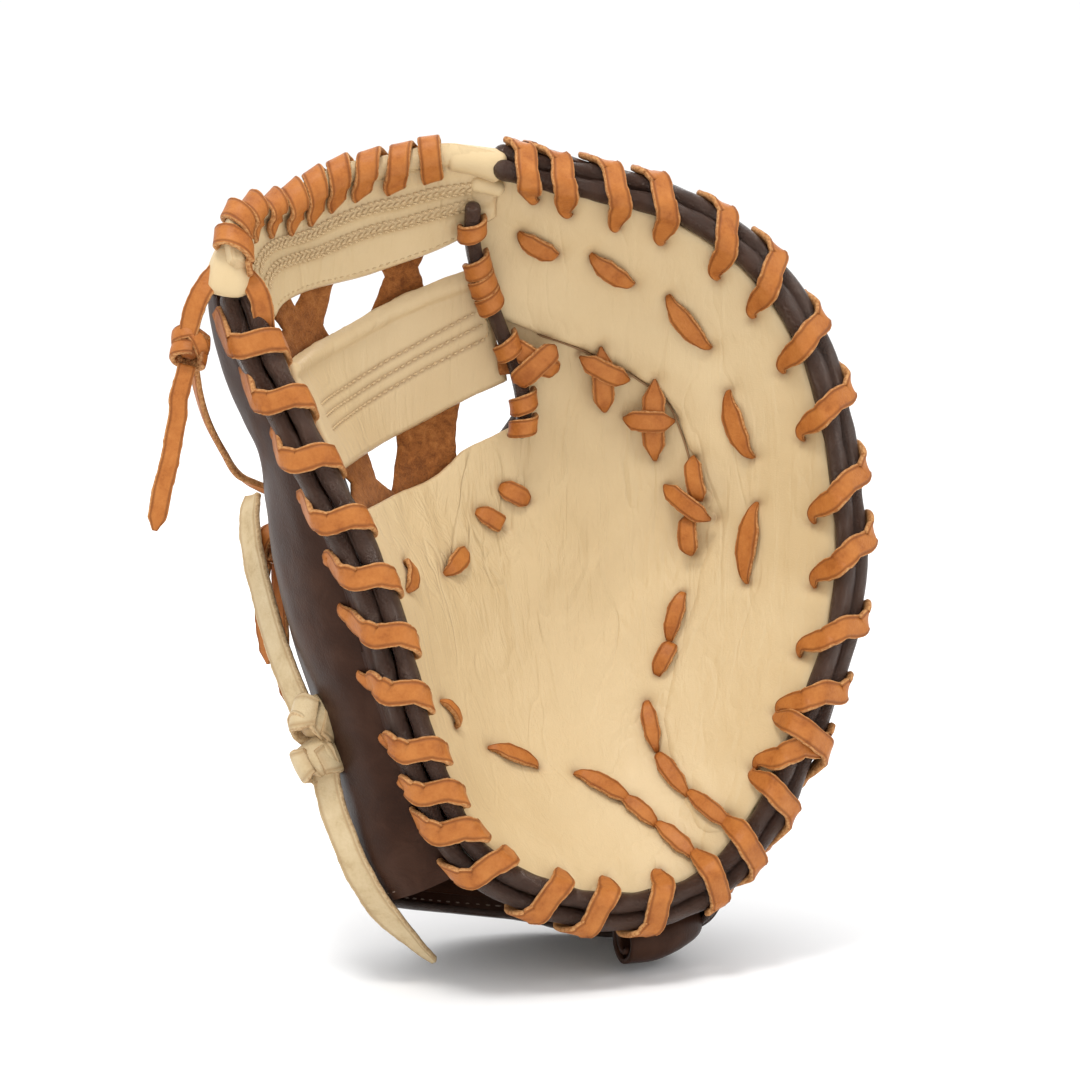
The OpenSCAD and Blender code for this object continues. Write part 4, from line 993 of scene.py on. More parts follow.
# Lacing over the rim: up out of its hole, round the inner roll and the outer one, and into the back leather.
# rise and tail have a share and a lift for each point, and turns the angles round each roll.
rimLace = {"width": 9.0, "thick": 2.5, "reach": 5.25, "overReach": 7.6, "overLeave": 315.5,
           "rise": ((0, 0, 2.6), (0.08, 0.004, -0.2), (0.19, 0.02, -2.4)),
           "innerTurns": (205, 232, 258, 284), "outerTurns": (292, 312, 334, 354),
           "tail": ((0.012, 1.5), (0.045, 1.4), (0.07, 0.5), (0.085, -2.2)),
           "heelTail": ((0.85, 6), (0.2, 11)), "ends": (0.5, 0.4), "point": 13}


def tailDrift(side, leave):  # mm that the tail runs on along the rim at each of its points
    if side == "finger":
        return -1.5
    return 1.2 if leave < 175 else -1.3


def rimWrap(bundle, side, entry, leave, seed):
    outer, reach = welt["outer"], rimLace["overReach" if leave == rimLace["overLeave"] else "reach"]
    path = [offBowl(polar(mix(entry, leave, run), holeShare + share), back)
            for run, share, back in rimLace["rise"]]
    facing = [-bowlBack(polar(entry, holeShare))] * len(path)
    turns = [(welt["inner"], q) for q in rimLace["innerTurns"]] + [(outer, q) for q in rimLace["outerTurns"]]
    for k, (centre, turn) in enumerate(turns):
        angle = mix(entry, leave, 0.28 + 0.66 * k / (len(turns) - 1))
        out, back = compass(turn)
        grow = reach + (0.25 if 258 <= turn <= 312 else 0)
        path.append(byRim(angle, centre[0] + grow * out, centre[1] + grow * back))
        facing.append(unit(rimOut(angle) * out + np.array([0, back, 0])))
    if side == "thumb" or leave > 284:
        drift = np.degrees(tailDrift(side, leave) / around(rimRadius, leave))
        for k, (inward, lift) in enumerate(rimLace["tail"]):
            spot, out = onPanel(side, np.clip(leave + drift * (k + 1), 141.6, 460.8), inward, lift)
            path.append(spot)
            facing.append(out)
        point = (0 if side == "thumb" else 15, rimLace["point"])
    else:
        path += [byRim(leave, outer[0] + reach * share, outer[1] + back)
                 for share, back in rimLace["heelTail"]]
        facing += [rimOut(leave)] * 2
        point = (rimLace["point"] if entry > 245 else 0, 0)
    strip(bundle, path, facing, rimLace["width"], rimLace["thick"], ends=rimLace["ends"],
          twist=(14 if side == "thumb" else -20, 0), seed=seed, point=point, curl=0.07)


def makeRimLaces():
    for side, name, node, body in (("thumb", "thumbRimLace", "thumb_rim_lace", "both"),
                                   ("heel", "heelLace", "heel_lace", "both"),
                                   ("finger", "fingerRimLace", "finger_rim_lace", "finger")):
        bundle = Bundle()
        for k, (entry, leave) in enumerate(wraps[side]):
            rimWrap(bundle, side, entry, leave, k * 3 + len(side))
        move(bundle.build(name, "lace"), body, node)


makeRimLaces()

# Running stitches: the lace dips into its holes at both ends
stitchLace = {"thick": 2.2, "shares": (0, 0.1, 0.3, 0.5, 0.7, 0.9, 1),
              "backs": (1.6, -0.5, -1.6, -2.0, -1.6, -0.5, 1.6), "flapLevel": -3.0}


def layStitch(bundle, item, front, seed, lift=0.0, level=None, blunt=0.4):
    shares = np.array(stitchLace["shares"])
    flat = mix(item[:2], item[2:4], shares[:, None])
    surface = front(flat) if level is None else np.full(len(shares), level)
    surface[1:-1] = surface.min()
    path = offBowl(flat, surface + stitchLace["backs"] - lift)
    point = np.linalg.norm(path[-1] - path[0]) * blunt
    strip(bundle, path, -bowlBack(flat), item[4] * 0.92, stitchLace["thick"], ends=(0.5, 0.5),
          point=(point, point), seed=seed, curl=0.04)


def makeStitches():
    level = stitchLace["flapLevel"]
    groups = [("palmStitchesThumb", "thumb", palmStitches["thumb"], palmFront, 5, ["palm_lace_thumb"]),
              ("palmStitchFold", "both", palmStitches["both"], palmFront, 4, []),
              ("palmStitchesFinger", "finger", palmStitches["finger"], palmFront, 6, ["palm_lace_finger"]),
              ("flapStitches", "finger", flapStitches, flapFront, 20, ["flap_lace"])]
    for name, side, items, front, seed, stoodFor in groups:
        bundle = Bundle()
        for k, item in enumerate(items):
            layStitch(bundle, item, front, k + seed)
        move(bundle.build(name, "lace"), side, *stoodFor)
    bundle = Bundle()
    for k, item in enumerate(crotchStraps):  # the second, fourth and sixth cross over the one before
        layStitch(bundle, item, flapFront, k + 40, lift=2.4 if k in (1, 3, 5) else 0.3, level=level, blunt=0.22)
    move(bundle.build("crotchLace", "lace"), "finger", "crotch_lace")


makeStitches()

# Slim welt on the web side of the index finger, its wraps by their share of its length, and crossing laces
edgeLine = [[-39, 152], [-37, 138], [-32, 125], [-26, 113], [-20, 101], [-14, 88], [-11, 74], [-12, 62]]
edgeWelt = {"radius": 3.1, "lift": -6.2, "crease": 0.05, "wraps": (0.1, 0.235, 0.31, 0.39, 0.6, 0.83, 0.93),
            "turns": (-35, 0, 30, 60, 90, 120, 150, 180, 215), "reach": 4.5, "endReach": 4.8, "laceWidth": 7.4,
            "laceThick": 2.2, "crossing": ((-17, 99, 1, 88, 10), (-1, 98, -15, 85, 10))}


def makeFingerEdge():
    roll, lace = Bundle(), Bundle()
    lift = edgeWelt["lift"]
    flat = along(edgeLine, np.linspace(0, 1, 30))
    tube(roll, offBowl(flat, np.full(30, lift)), edgeWelt["radius"], step=0.9, crease=edgeWelt["crease"],
         seed=3)
    move(roll.build("fingerEdgeWelt", "roll"), "finger", "finger_edge_welt")
    for k, share in enumerate(edgeWelt["wraps"]):
        before, here, after = [along(edgeLine, share + gap) for gap in (-0.04, 0, 0.04)]
        front, run = -bowlBack(here), unit(offBowl(after, lift) - offBowl(before, lift))
        side = unit(np.cross(front, run))
        path, facing = [], []
        for turn in edgeWelt["turns"]:
            facing.append(compass(turn) @ [side, front])
            reach = edgeWelt["reach" if 0 <= turn <= 180 else "endReach"]
            path.append(offBowl(here, lift) + facing[-1] * reach + run * (turn - 90) * 0.02)
        strip(lace, path, facing, edgeWelt["laceWidth"], edgeWelt["laceThick"], ends=(0.6, 0.6), seed=k + 60)
    for k, item in enumerate(edgeWelt["crossing"]):
        layStitch(lace, item, flapFront, k + 70, lift=3.4 + 2.4 * k, level=stitchLace["flapLevel"], blunt=0.12)
    move(lace.build("fingerEdgeLace", "lace"), "finger", "finger_edge_lace")


makeFingerEdge()
print("laces of the pocket and rim made")

# Web: a top bar with a rolled edge, between two rim angles and two shares of the rim's radius
topBar = {"from": 139, "to": 101.5, "high": 0.99, "thumbRise": 0.1, "fingerRise": 0.035, "low": 0.77,
          "bow": 0.0004,
          "middle": 119, "roll": 4.3, "half": 2.1, "slant": 1.22, "braids": ((0.33, 0.05), (0.52, 0.06)),
          "braidStitches": ((-1.6, 24), (0, -30), (1.6, 24))}
# Lower bar, with its outline, three sewn rows and the row that joins their ends
lowerBar = {"top": [[-121, 88.5], [-105, 97], [-90, 104], [-67, 115], [-51, 121], [-33, 126]],
            "bottom": [[-104, 47], [-81, 57.5], [-64, 65], [-50, 71], [-36, 77], [-18, 84]],
            "rows": [[[-106, 73.5], [-82, 86.5], [-58, 98.5], [-33, 110]],
                     [[-104.5, 69], [-80, 82], [-56, 94], [-29.5, 105.5]],
                     [[-102, 64], [-78, 77], [-54, 89], [-28, 100]]],
            "endRow": [[-33, 110], [-29.5, 110.5], [-27, 106], [-26.5, 102], [-28, 100]],
            "roll": 3.9, "half": 2.2, "slant": 1.1}


def topHigh(angle):
    angle = np.asarray(angle, float)
    return (topBar["high"] + topBar["thumbRise"] * eased((angle - 126) / 11)
            + topBar["fingerRise"] * eased((115 - angle) / 9))


def topLine(angle, fraction):  # line along the top bar at a fraction of its height
    low = topBar["low"] + topBar["bow"] * (angle - topBar["middle"]) ** 2
    return polar(angle, mix(low, topHigh(angle), fraction))


barAngles = np.linspace(topBar["from"], topBar["to"], 24)
topEdge, topFoot = topLine(barAngles, 1.0), topLine(barAngles, 0.0)
braidWave = np.cos(np.radians((barAngles - topBar["middle"]) * 5))
braids = [topLine(barAngles, height + wave * braidWave) for height, wave in topBar["braids"]]


def rolled(gap, radius, half):  # half thickness of a bar whose edge is rolled, gap mm in from that edge
    circle = np.sqrt(np.clip(radius ** 2 - (radius - gap) ** 2, 0.25, None))
    return np.where(gap < radius, np.maximum(circle, 0.6), np.maximum(circle * (gap < 2 * radius), half))


def topFront(flat):
    gap = toLine(flat, topEdge) * topBar["slant"]
    ridge = sum(0.95 * hump(toLine(flat, line), 1.9) - 0.35 * hump(toLine(flat, line) - 3.4, 1.1)
                for line in braids)
    crease = ripple(flat * [1, 0.2] + 40, 9, 3) * 0.45 + ripple(flat * [1, 0.3], 4, 8) * 0.14
    foot = np.clip(toLine(flat, topFoot) / 2.2, 0, 1)
    relief = (ridge + crease * np.clip(gap / 9 - 0.6, 0, 1)) * foot
    return -(rolled(gap, topBar["roll"], topBar["half"]) + relief)


def lowerFront(flat):
    gap = toLine(flat, lowerBar["top"]) * lowerBar["slant"]
    rows = sum(hump(toLine(flat, row), 1.0) for row in lowerBar["rows"])
    crease = ripple(flat * [1, 0.3] + 11, 10, 6) * 0.5 * np.clip(gap / 9, 0, 1)
    half = rolled(gap, lowerBar["roll"], lowerBar["half"])
    return -(half + 0.35 * hump(gap - 24, 9) - 0.45 * np.clip(rows, 0, 1) + crease)


def barMarks(flat, wrinkle, base, soil, lines, reach):
    # soil here is painted shade: a base amount over the whole bar and more along its sewn lines.
    sewn = np.clip(sum(hump(toLine(flat, line), reach) for line in lines), 0, 1)
    return {"wrinkle": np.full(len(flat), wrinkle), "soil": base + soil * sewn}


def sewOn(bundle, flat, front, *sizes, tilt=0.0):
    sew(bundle, offBowl(flat, front(flat)), -bowlBack(flat), *sizes, tilt=tilt)


def makeWeb():
    top, low, thread = Bundle(), Bundle(), Bundle()
    outlineSheet(top, curved(topEdge, [topEdge[-1], topFoot[-1]], topFoot[::-1], [topFoot[0], topEdge[0]]),
                 topFront, lambda flat: -2 * topFront(flat) - 0.5, 0.95, 0.0,
                 lambda flat: barMarks(flat, 0.35, 0, 0.28, braids, 2.6))
    move(top.build("webTopBar", "cream", "creamEdge"), "both", "web_top_bar_thumb", "web_top_bar_finger")
    upper, lower = lowerBar["top"], lowerBar["bottom"]
    # The lower bar's cream is darkened all over as painted shade, and the top bar only along its braids.
    outlineSheet(low, curved(upper, [upper[-1], (-25, 104), lower[-1]], lower[::-1],
                             [lower[0], (-114, 69), upper[0]]),
                 lowerFront, lambda flat: -2 * lowerFront(flat) - 0.4, 0.95, 0.12,
                 lambda flat: barMarks(flat, 0.3, 0.16, 0.5, lowerBar["rows"], 1.0))
    move(low.build("webLowerBar", "cream", "creamEdge"), "both", "web_lower_bar_thumb", "web_lower_bar_finger")
    for line in braids:
        run = unit(np.gradient(line, axis=0))
        for side, tilt in topBar["braidStitches"]:
            flat = line + np.stack([-run[:, 1], run[:, 0]], 1) * side
            sewOn(thread, flat[1:-2], topFront, 2.6, 2.7, 1.3, 0.3, tilt=tilt)
    for row in lowerBar["rows"]:
        sewOn(thread, evenly(row, 2)[0], lowerFront, 3.0, 2.3, 1.0, 0.3)
    sewOn(thread, evenly(lowerBar["endRow"], 1)[0], lowerFront, 3.0, 2.2, 1.0, 0.3)
    sewOn(thread, topLine(barAngles[1:-2], 0.045), topFront, 3.0, 2.2, 0.7, 0.1)
    move(thread.build("webThread", "thread"), "both")


makeWeb()

# Suede posts behind the bars: outline, mm behind the pocket's surface, thickness
webPosts = {
    "webPostThumb": ("web_post_thumb", [
        ([(-127, 121), (-118, 124), (-106, 112), (-96, 127), (-86, 130), (-94, 106), (-84, 92), (-92, 84),
          (-104, 97), (-117, 84), (-127, 87), (-112, 104)], 2.9, 2.4),
        ([(-101, 57), (-88, 64), (-78, 62), (-74, 48), (-64, 42), (-66, 34), (-84, 30), (-92, 36), (-88, 46)],
         2.9, 2.4)]),
    "webPostFinger": ("web_post_finger", [
        ([(-77, 139), (-62, 142), (-49, 140), (-55, 126), (-48, 108), (-60, 105), (-75, 104), (-67, 123)], 2.9,
         2.4),
        ([(-62, 84), (-48, 87), (-34, 86), (-37, 62), (-35, 40), (-48, 36), (-66, 36), (-61, 60)], 2.9, 2.4),
        ([(-23.5, 99), (-15, 99.5), (-12.5, 88), (-21, 87)], -6.2, 2.2)])}


def makePosts():
    for name, (node, shapes) in webPosts.items():
        bundle = Bundle()
        for k, (outline, lift, thick) in enumerate(shapes):
            outlineSheet(bundle, straightSides(outline, 0.7),
                         lambda flat, lift=lift: lift + ripple(flat, 12, 2) * 0.8 + ripple(flat, 4, 5) * 0.2,
                         thick, 1.1, 0.45, seed=k * 5 + 2)
        move(bundle.build(name, "suede", "suede"), "both", node)


makePosts()

# Lace round the top bar's roll, each wrap with its rim angle at the top and at its hole, and the hole's share
webLace = {"width": 8.6, "thick": 2.5, "clear": 1.55, "turns": (-28, 0, 30, 60, 90, 125, 165, 205),
           "rise": ((0, 1.5), (0.004, -2.4), (0.016, -4.2)),
           "wraps": ((109.0, 109.2, 0.925), (112.2, 113.9, 0.925), (115.8, 118.2, 0.925), (119.5, 122.0, 0.925),
                     (122.8, 125.4, 0.925), (125.9, 128.6, 0.925), (128.8, 131.4, 0.925)),
           "thumbWraps": ((131.6, 134.0, 0.93), (134.3, 136.4, 0.94), (137.2, 138.6, 0.945)),
           "thumbTies": ((-101, 70, -113, 74), (-97, 55, -107, 57), (-114, 84, -121, 92)),
           "fingerTies": ((-36, 96, -28, 93), (-46, 118, -38, 116)), "tieWidth": 6.5, "tieThick": 2.2,
           "tieBacks": (0.6, 2.6, 3.7, 4.1, 3.7, 2.6, 0.6)}


def webWrap(bundle, top, bottom, low, seed):
    inset = topBar["roll"] / (topBar["slant"] * 188)  # 188 mm is the rim's radius there
    low = low + topHigh(bottom) - topBar["high"]
    path = [offBowl(polar(bottom, low + share), back) for share, back in webLace["rise"]]
    facing = [-bowlBack(polar(bottom, low))] * len(path)
    for turn in webLace["turns"]:
        share = (turn + 28) / 233
        angle = mix(bottom, top, min(1, 0.25 + share * 1.5)) - (bottom - top) * max(0, share - 0.5)
        flat = polar(angle, topHigh(angle) - inset)
        up = unit(bowl(polar(angle, topHigh(angle))) - bowl(polar(angle, topHigh(angle) - 0.06)))
        facing.append(compass(turn) @ [-bowlBack(flat), up])
        path.append(bowl(flat) + facing[-1] * (topBar["roll"] + webLace["clear"]))
    back = polar(mix(bottom, top, 1.6), low)
    path += [offBowl(back, 4.4), offBowl(back, 1.0)]
    facing += [bowlBack(back)] * 2
    strip(bundle, path, facing, webLace["width"], webLace["thick"], ends=(0.6, 0.8), twist=(-12, 0), seed=seed)


def tieBehind(bundle, item, seed):  # short lace on the back of the lower bar
    flat = mix(item[:2], item[2:], np.linspace(0, 1, 7)[:, None])
    strip(bundle, offBowl(flat, webLace["tieBacks"]), bowlBack(flat), webLace["tieWidth"], webLace["tieThick"],
          ends=(0.7, 0.7), point=(3, 3), seed=seed, curl=0.04)


def makeWebLaces():
    bundle = Bundle()
    for key, seed in (("wraps", 80), ("thumbWraps", 90)):
        for k, wrap in enumerate(webLace[key]):
            webWrap(bundle, *wrap, k + seed)
    move(bundle.build("webTopLace", "lace"), "both", "web_top_lace_thumb", "web_top_lace_finger")
    for side, name, node, seed in (("thumb", "webSideLaceThumb", "web_side_lace_thumb", 100),
                                   ("finger", "webSideLaceFinger", "web_side_lace_finger", 110)):
        ties = Bundle()
        for k, item in enumerate(webLace[side + "Ties"]):
            tieBehind(ties, item, k + seed)
        move(ties.build(name, "lace"), side, node)


makeWebLaces()

endTabs = {"thumbRoute": [[-138, -71, 136], [-140, -73, 131], [-142, -73, 125], [-142.5, -71, 119],
                          [-142.5, -69, 116]],
           "thumbRadius": (6.2, 3.4), "fingerAngles": (107.5, 100.2), "fingerRadius": (5.0, 1.6),
           "foldRadius": 3.4}


def makeEndTabs():
    thumb, finger = Bundle(), Bundle()
    start, grow = endTabs["thumbRadius"]
    tube(thumb, endTabs["thumbRoute"], lambda s: start + grow * eased(s), sides=30, step=0.8, crease=0.09,
         seed=6, closeEnds=2.5)
    move(thumb.build("webEndTabThumb", "cream", "creamEdge"), "thumb", "web_end_tab_thumb")
    first, wider = endTabs["fingerRadius"]
    angles = np.linspace(*endTabs["fingerAngles"], 9)
    tube(finger, bowl(polar(angles, topHigh(angles) - 0.028)), lambda s: first + wider * s, sides=26, step=0.8,
         crease=0.05, seed=2, closeEnds=3.5)
    tube(finger, offBowl(polar(angles[3:], topHigh(angles[3:]) - 0.07), np.full(6, -1.0)),
         endTabs["foldRadius"], sides=18, step=0.8, crease=0.06, seed=5)
    move(finger.build("webEndTabFinger", "cream", "creamEdge"), "finger", "web_end_tab_finger")


makeEndTabs()
print("web made")

# Knots: turns of lace about a small core. A turn has its axis, radius, start, sweep and shift along the axis.
knots = {
    "thumbTipKnot": {"node": "thumb_tip_knot", "paint": "lace", "balls": [
        {"centre": [-158, -66, 96], "width": 6.4, "thick": 2.3, "core": 5.0, "seed": 21, "turns": [
            ([1, 0.2, 0.35], 5.4, 200, 300, 0.5), ([0.2, 0.3, 1], 5.8, 150, 330, 2.5),
            ([0.35, 0.2, 1], 5.6, 140, 320, -3.6), ([-0.6, 0.5, 0.7], 6.3, 160, 220, 0)]}]},
    "backLaceKnot": {"node": "back_lace_knot", "paint": "lace", "balls": [
        {"centre": [-109, 22, 27], "width": 6.6, "thick": 2.3, "core": 5.4, "seed": 41, "turns": [
            ([1, 0.3, 0.2], 5.6, 100, 300, 0), ([0.2, 1, 0.4], 6.2, 60, 320, 1.5),
            ([0.3, 0.2, 1], 6.0, 120, 330, -2.5), ([-0.5, 0.6, 0.6], 6.8, 0, 240, 0)]}]},
    "wristLaceKnot": {"node": "wrist_lace_knot", "paint": "pale", "balls": [
        {"centre": [-109, -20.5, -45], "width": 14, "thick": 3.0, "core": 6.4, "seed": 51, "turns": [
            ([0.35, 0.15, 1], 8.2, 110, 340, 0.4), ([0.9, 0.2, 0.5], 7.2, 200, 300, 0)]},
        {"centre": [-108.5, -20, -60], "width": 13, "thick": 3.0, "core": 6.2, "seed": 61, "turns": [
            ([-0.35, 0.15, 1], 8.0, 100, 340, 0), ([0.9, -0.2, 0.55], 7.0, 180, 300, 0)]}]}}
knotSeat = offNet(thumbNet, 0.53, 0.68, 3.0)  # where the stub of the knot at the back meets the thumb
tipStrands = {"width": 7.8, "thick": 2.4, "routes": [
    [[-159, -69, 98], [-158.5, -70, 103], [-157, -72, 109], [-154, -73, 115], [-149, -73, 121],
     [-144, -72, 125]],
    [[-142, -73, 124], [-137, -76, 119], [-134, -78, 113], [-132.5, -77, 107], [-131.5, -74, 101],
     [-131, -70, 96]]]}
wristStrap = {"width": 12, "thick": 3, "route": [
    [-114, 22, 46], [-117, 20, 38], [-118, 16, 25], [-117.5, 10, 10], [-116.5, 0, -10], [-114, -9, -28],
    [-111, -16, -42]]}


def tieKnot(bundle, ball):
    centre, core = np.array(ball["centre"], float), ball["core"]
    for k, (axis, radius, start, sweepBy, shift) in enumerate(ball["turns"]):
        axis = unit(axis)
        side = unit(np.cross(axis, [0.31, 0.9, 0.3]))
        degrees = start + np.linspace(0, sweepBy, 14)
        facing = compass(degrees) @ [side, np.cross(axis, side)]
        grow = radius * (1 + 0.06 * np.sin(2 * np.radians(degrees) + k))
        path = centre + facing * grow[:, None] + axis * (shift + np.linspace(-1, 1, 14) * 1.4)[:, None]
        strip(bundle, path, facing, ball["width"], ball["thick"], ends=(0.6, 0.6), seed=ball["seed"] + k,
              curl=-0.06)
    heights = np.linspace(-0.98, 0.98, 7)[:, None] * core
    # The core carries the pinch mark, so the lace paint colours it dark: painted shade inside the knot.
    tube(bundle, centre + np.array([0, 0, 1]) * heights, lambda s: core * np.sqrt(
        np.clip(1 - (2 * s - 1) ** 2 * 0.9, 0.05, 1)), sides=12, closeEnds=0.5, mark={"pinch": 0.8})


def makeTipLace():
    strands = Bundle()
    for k, route in enumerate(tipStrands["routes"]):
        strip(strands, route, [-0.3, -1, 0.25], tipStrands["width"], tipStrands["thick"], ends=(0.5, 0.4),
              seed=k + 31, curl=0.12, twist=(20, 0))
    move(strands.build("thumbTipLace", "lace"), "thumb", "thumb_tip_lace")


def makeKnots():
    for name, knot in knots.items():
        bundle = Bundle()
        for ball in knot["balls"]:
            tieKnot(bundle, ball)
        if name == "backLaceKnot":
            strip(bundle, [[-109, 22, 31], (knotSeat + [-109, 22, 29]) / 2 + [-1, 0, 2], knotSeat], [0, 0.3, 1],
                  7, 2.4, seed=44)
        move(bundle.build(name, knot["paint"]), "thumb", knot["node"])
        if name == "thumbTipKnot":
            makeTipLace()
    strap = Bundle()
    strip(strap, wristStrap["route"], [-1, -0.35, 0.2], wristStrap["width"], wristStrap["thick"],
          ends=(0.7, 0.3), seed=70, curl=0.1)
    move(strap.build("wristLaceStrap", "pale"), "thumb", "wrist_lace")


makeKnots()
print("knots made")

# Wrist: a hem along both edges, its stitching on both faces, and the curled end of the leather
wrist = {"hemRadius": 2.0, "hemOut": 1.2, "hemRise": 1.5, "stitchRow": 0.026,
         "stitchFaces": ((2.45, 1), (-0.05, -1)), "thumbSpan": (0.1, 0.98), "fingerSpan": (0.02, 0.84)}
curl = {"route": [[8, -24, -140], [19, -23, -140], [28, -20, -138], [35, -15, -136], [38.5, -11, -135]],
        "outer": 11, "inner": 5.2, "thick": 2.1, "start": 100, "turn": 560, "steps": 46}


def makeWrist():
    trim, thread, tab = Bundle(), Bundle(), Bundle()
    shares = np.linspace(0, 1, 30)
    hem = np.concatenate([netPoint(net, 0, shares) + netOut(net, 0.01, shares) * wrist["hemOut"]
                          for net in (thumbNet, fingerNet)])
    hem = np.delete(hem, len(shares), 0)
    tube(trim, hem + [0, 0, wrist["hemRise"]], wrist["hemRadius"], (0, 0, 1), 12, 1.2, 0.05, 5)
    move(trim.build("wristHem", "roll"), "both")
    for net, span in ((thumbNet, wrist["thumbSpan"]), (fingerNet, wrist["fingerSpan"])):
        across = np.linspace(*span, 40)
        normal = netOut(net, wrist["stitchRow"], across)
        for lift, facing in wrist["stitchFaces"]:
            sew(thread, netPoint(net, wrist["stitchRow"], across) + normal * lift, normal * facing, 4.4, 2.9,
                0.7, 0.1)
    move(thread.build("hemThread", "darkThread"), "both")

    route, _ = evenly(curl["route"], 1.2)
    degrees = np.linspace(curl["start"], curl["start"] + curl["turn"], curl["steps"])
    radius = np.linspace(curl["outer"], curl["inner"], curl["steps"])
    ring = np.concatenate([compass(degrees, radius), compass(degrees, radius - curl["thick"])[::-1]])
    run, across, up = framesOf(route, np.broadcast_to([0.0, 0, 1], route.shape))
    points, faces = sweep(route, across, up, ring, closed=False)
    size = len(ring)
    last = (len(route) - 1) * size
    for k in range(curl["steps"] - 1):
        faces.append([k, k + 1, size - 2 - k, size - 1 - k])
        faces.append([last + size - 1 - k, last + size - 2 - k, last + k + 1, last + k])
    tab.add(points, faces)
    move(tab.build("rolledTab", "dark"), "finger", "rolled_tab")


makeWrist()

# Bindings along the openings of the back, and two sewn seams with piping on the back of the fingers
backTrim = {"binding": 2.3, "piping": 1.3, "seams": ((0.3, (0.05, 0.93)), (0.62, (0.05, 0.97))), "rowGap": 3.4}


def makeBackTrim():
    for name, side, net, start, end, count, across, inward, seed in (
            ("thumbOpeningBinding", "thumb", thumbNet, thumbFoldEnd, 0.97, 40, 1, 0.99, 3),
            ("fingerOpeningBinding", "finger", fingerNet, fingerFoldEnd, 0.985, 60, 0, 0.01, 4)):
        binding, downs = Bundle(), np.linspace(start + 0.02, end, count)
        edge = netPoint(net, downs, across) + netOut(net, downs, inward) * 1.2
        tube(binding, edge, backTrim["binding"], (0, 1, 0), 14, 1.2, 0.05, seed)
        move(binding.build(name, "roll"), side)
    seams = Bundle()
    for across, span in backTrim["seams"]:
        downs = np.linspace(*span, 60)
        rows = across + 0.03 * np.sin(downs * 6)
        out = netOut(fingerNet, downs, rows)
        line = netPoint(fingerNet, downs, rows) + out * 2.6
        tube(seams, line, backTrim["piping"], (0, 1, 0), 10, 1.5, 0.04, 6)
        side = unit(np.cross(unit(np.gradient(line, axis=0)), out))
        for gap in (-backTrim["rowGap"], backTrim["rowGap"]):
            sew(seams, line + side * gap, out, 4.2, 2.9, 0.75, 0.3, slot=1)
    move(seams.build("backSeams", "roll", "darkThread"), "both")


makeBackTrim()

# Inside: pads and linings between these lines. A palm row has its height and the rim angle beside it.
palmRows = [[-113, 256], [-92, 238], [-64, 224], [-34, 208], [-4, 190], [24, 174], [44, 162]]
seamEnds = [[37, -110], [34, -84], [33, -56], [41, -32], [51, -8], [56, 20], [55, 48], [47, 71], [34, 83],
            [14, 93], [-6, 101]]
flapAngles = [297, 306, 318, 331, 345, 360, 375, 390, 405, 420, 436, 448, 459]
flapInner = [[36, -96], [34, -76], [34, -55], [41, -32], [50, -10], [55, 10], [56, 34], [54, 54], [47, 71],
             [34, 83], [14, 93], [-6, 101], [-24, 110]]
inside = {"padLift": 3.6, "padFill": 0.7, "lining": 1.2, "liningGap": 1.4, "palmLining": 13.6,
          "fingerHeights": (-113, 98),
          "beadRadius": 3.0, "beadHeights": (-98, 24), "beadSide": 3.9, "loop": (13.4, 12.4), "loopWidth": 9,
          "loopThick": 1.4}


def foldX(z):
    return stance["foldX"] - z * math.tan(math.radians(stance["foldLean"]))


def thumbFlat(u, v):
    height, angle = along(palmRows, u)
    return mix(polar(angle, 1), [foldX(height) - 1, height], v)


def fingerFlat(u, v):
    height = mix(*inside["fingerHeights"], u)
    return mix([foldX(height) + 1, height], along(seamEnds, u), v)


def flapFlat(u, v):
    return mix(along(flapInner, u), polar(along(flapAngles, u), 1), v)


def makePads():
    for name, node, side, place, us, vs, thick in (
            ("thumbPad", "thumb_pad", "thumb", thumbFlat, (0.3, 0.86), (0.08, 0.5), 7),
            ("heelPadThumb", "heel_pad_thumb", "thumb", thumbFlat, (0.1, 0.26), (0.12, 0.86), 10),
            ("heelPadFinger", "heel_pad_finger", "finger", fingerFlat, (0.06, 0.2), (0.3, 0.9), 10),
            ("fingerPad", "finger_pad", "finger", flapFlat, (0.14, 0.86), (0.22, 0.9), 7)):
        bundle, uRun, vRun = Bundle(), np.linspace(*us, 8), np.linspace(*vs, 5)
        ring = [place(u, vs[0]) for u in uRun[:-1]] + [place(us[1], v) for v in vRun[:-1]]
        ring += [place(u, vs[1]) for u in uRun[:0:-1]] + [place(us[0], v) for v in vRun[:0:-1]]
        outlineSheet(bundle, straightSides(ring, 2.5), lambda flat: np.full(len(flat), inside["padLift"]),
                     thick, 3.0)
        obj = bundle.build(name, "felt", "felt")
        move(obj, side, node)


def shell(name, node, side, points):
    # Thin lining over a grid of points
    bundle, (rows, columns) = Bundle(), points.shape[:2]
    out = unit(np.cross(np.gradient(points, axis=0), np.gradient(points, axis=1)))
    number = np.arange(rows * columns).reshape(rows, columns)
    edge = [*number[0], *number[1:, -1], *number[-1, -2::-1], *number[-2:0:-1, 0]]
    faces = gridFaces(rows, columns)
    faces += [[i + number.size for i in f[::-1]] for f in faces]
    faces += [[a, b, b + number.size, a + number.size] for a, b in zip(edge, edge[1:] + edge[:1])]
    bundle.add(np.concatenate([points.reshape(-1, 3), (points - out * inside["lining"]).reshape(-1, 3)]), faces)
    move(bundle.build(name, "lining"), side, node)


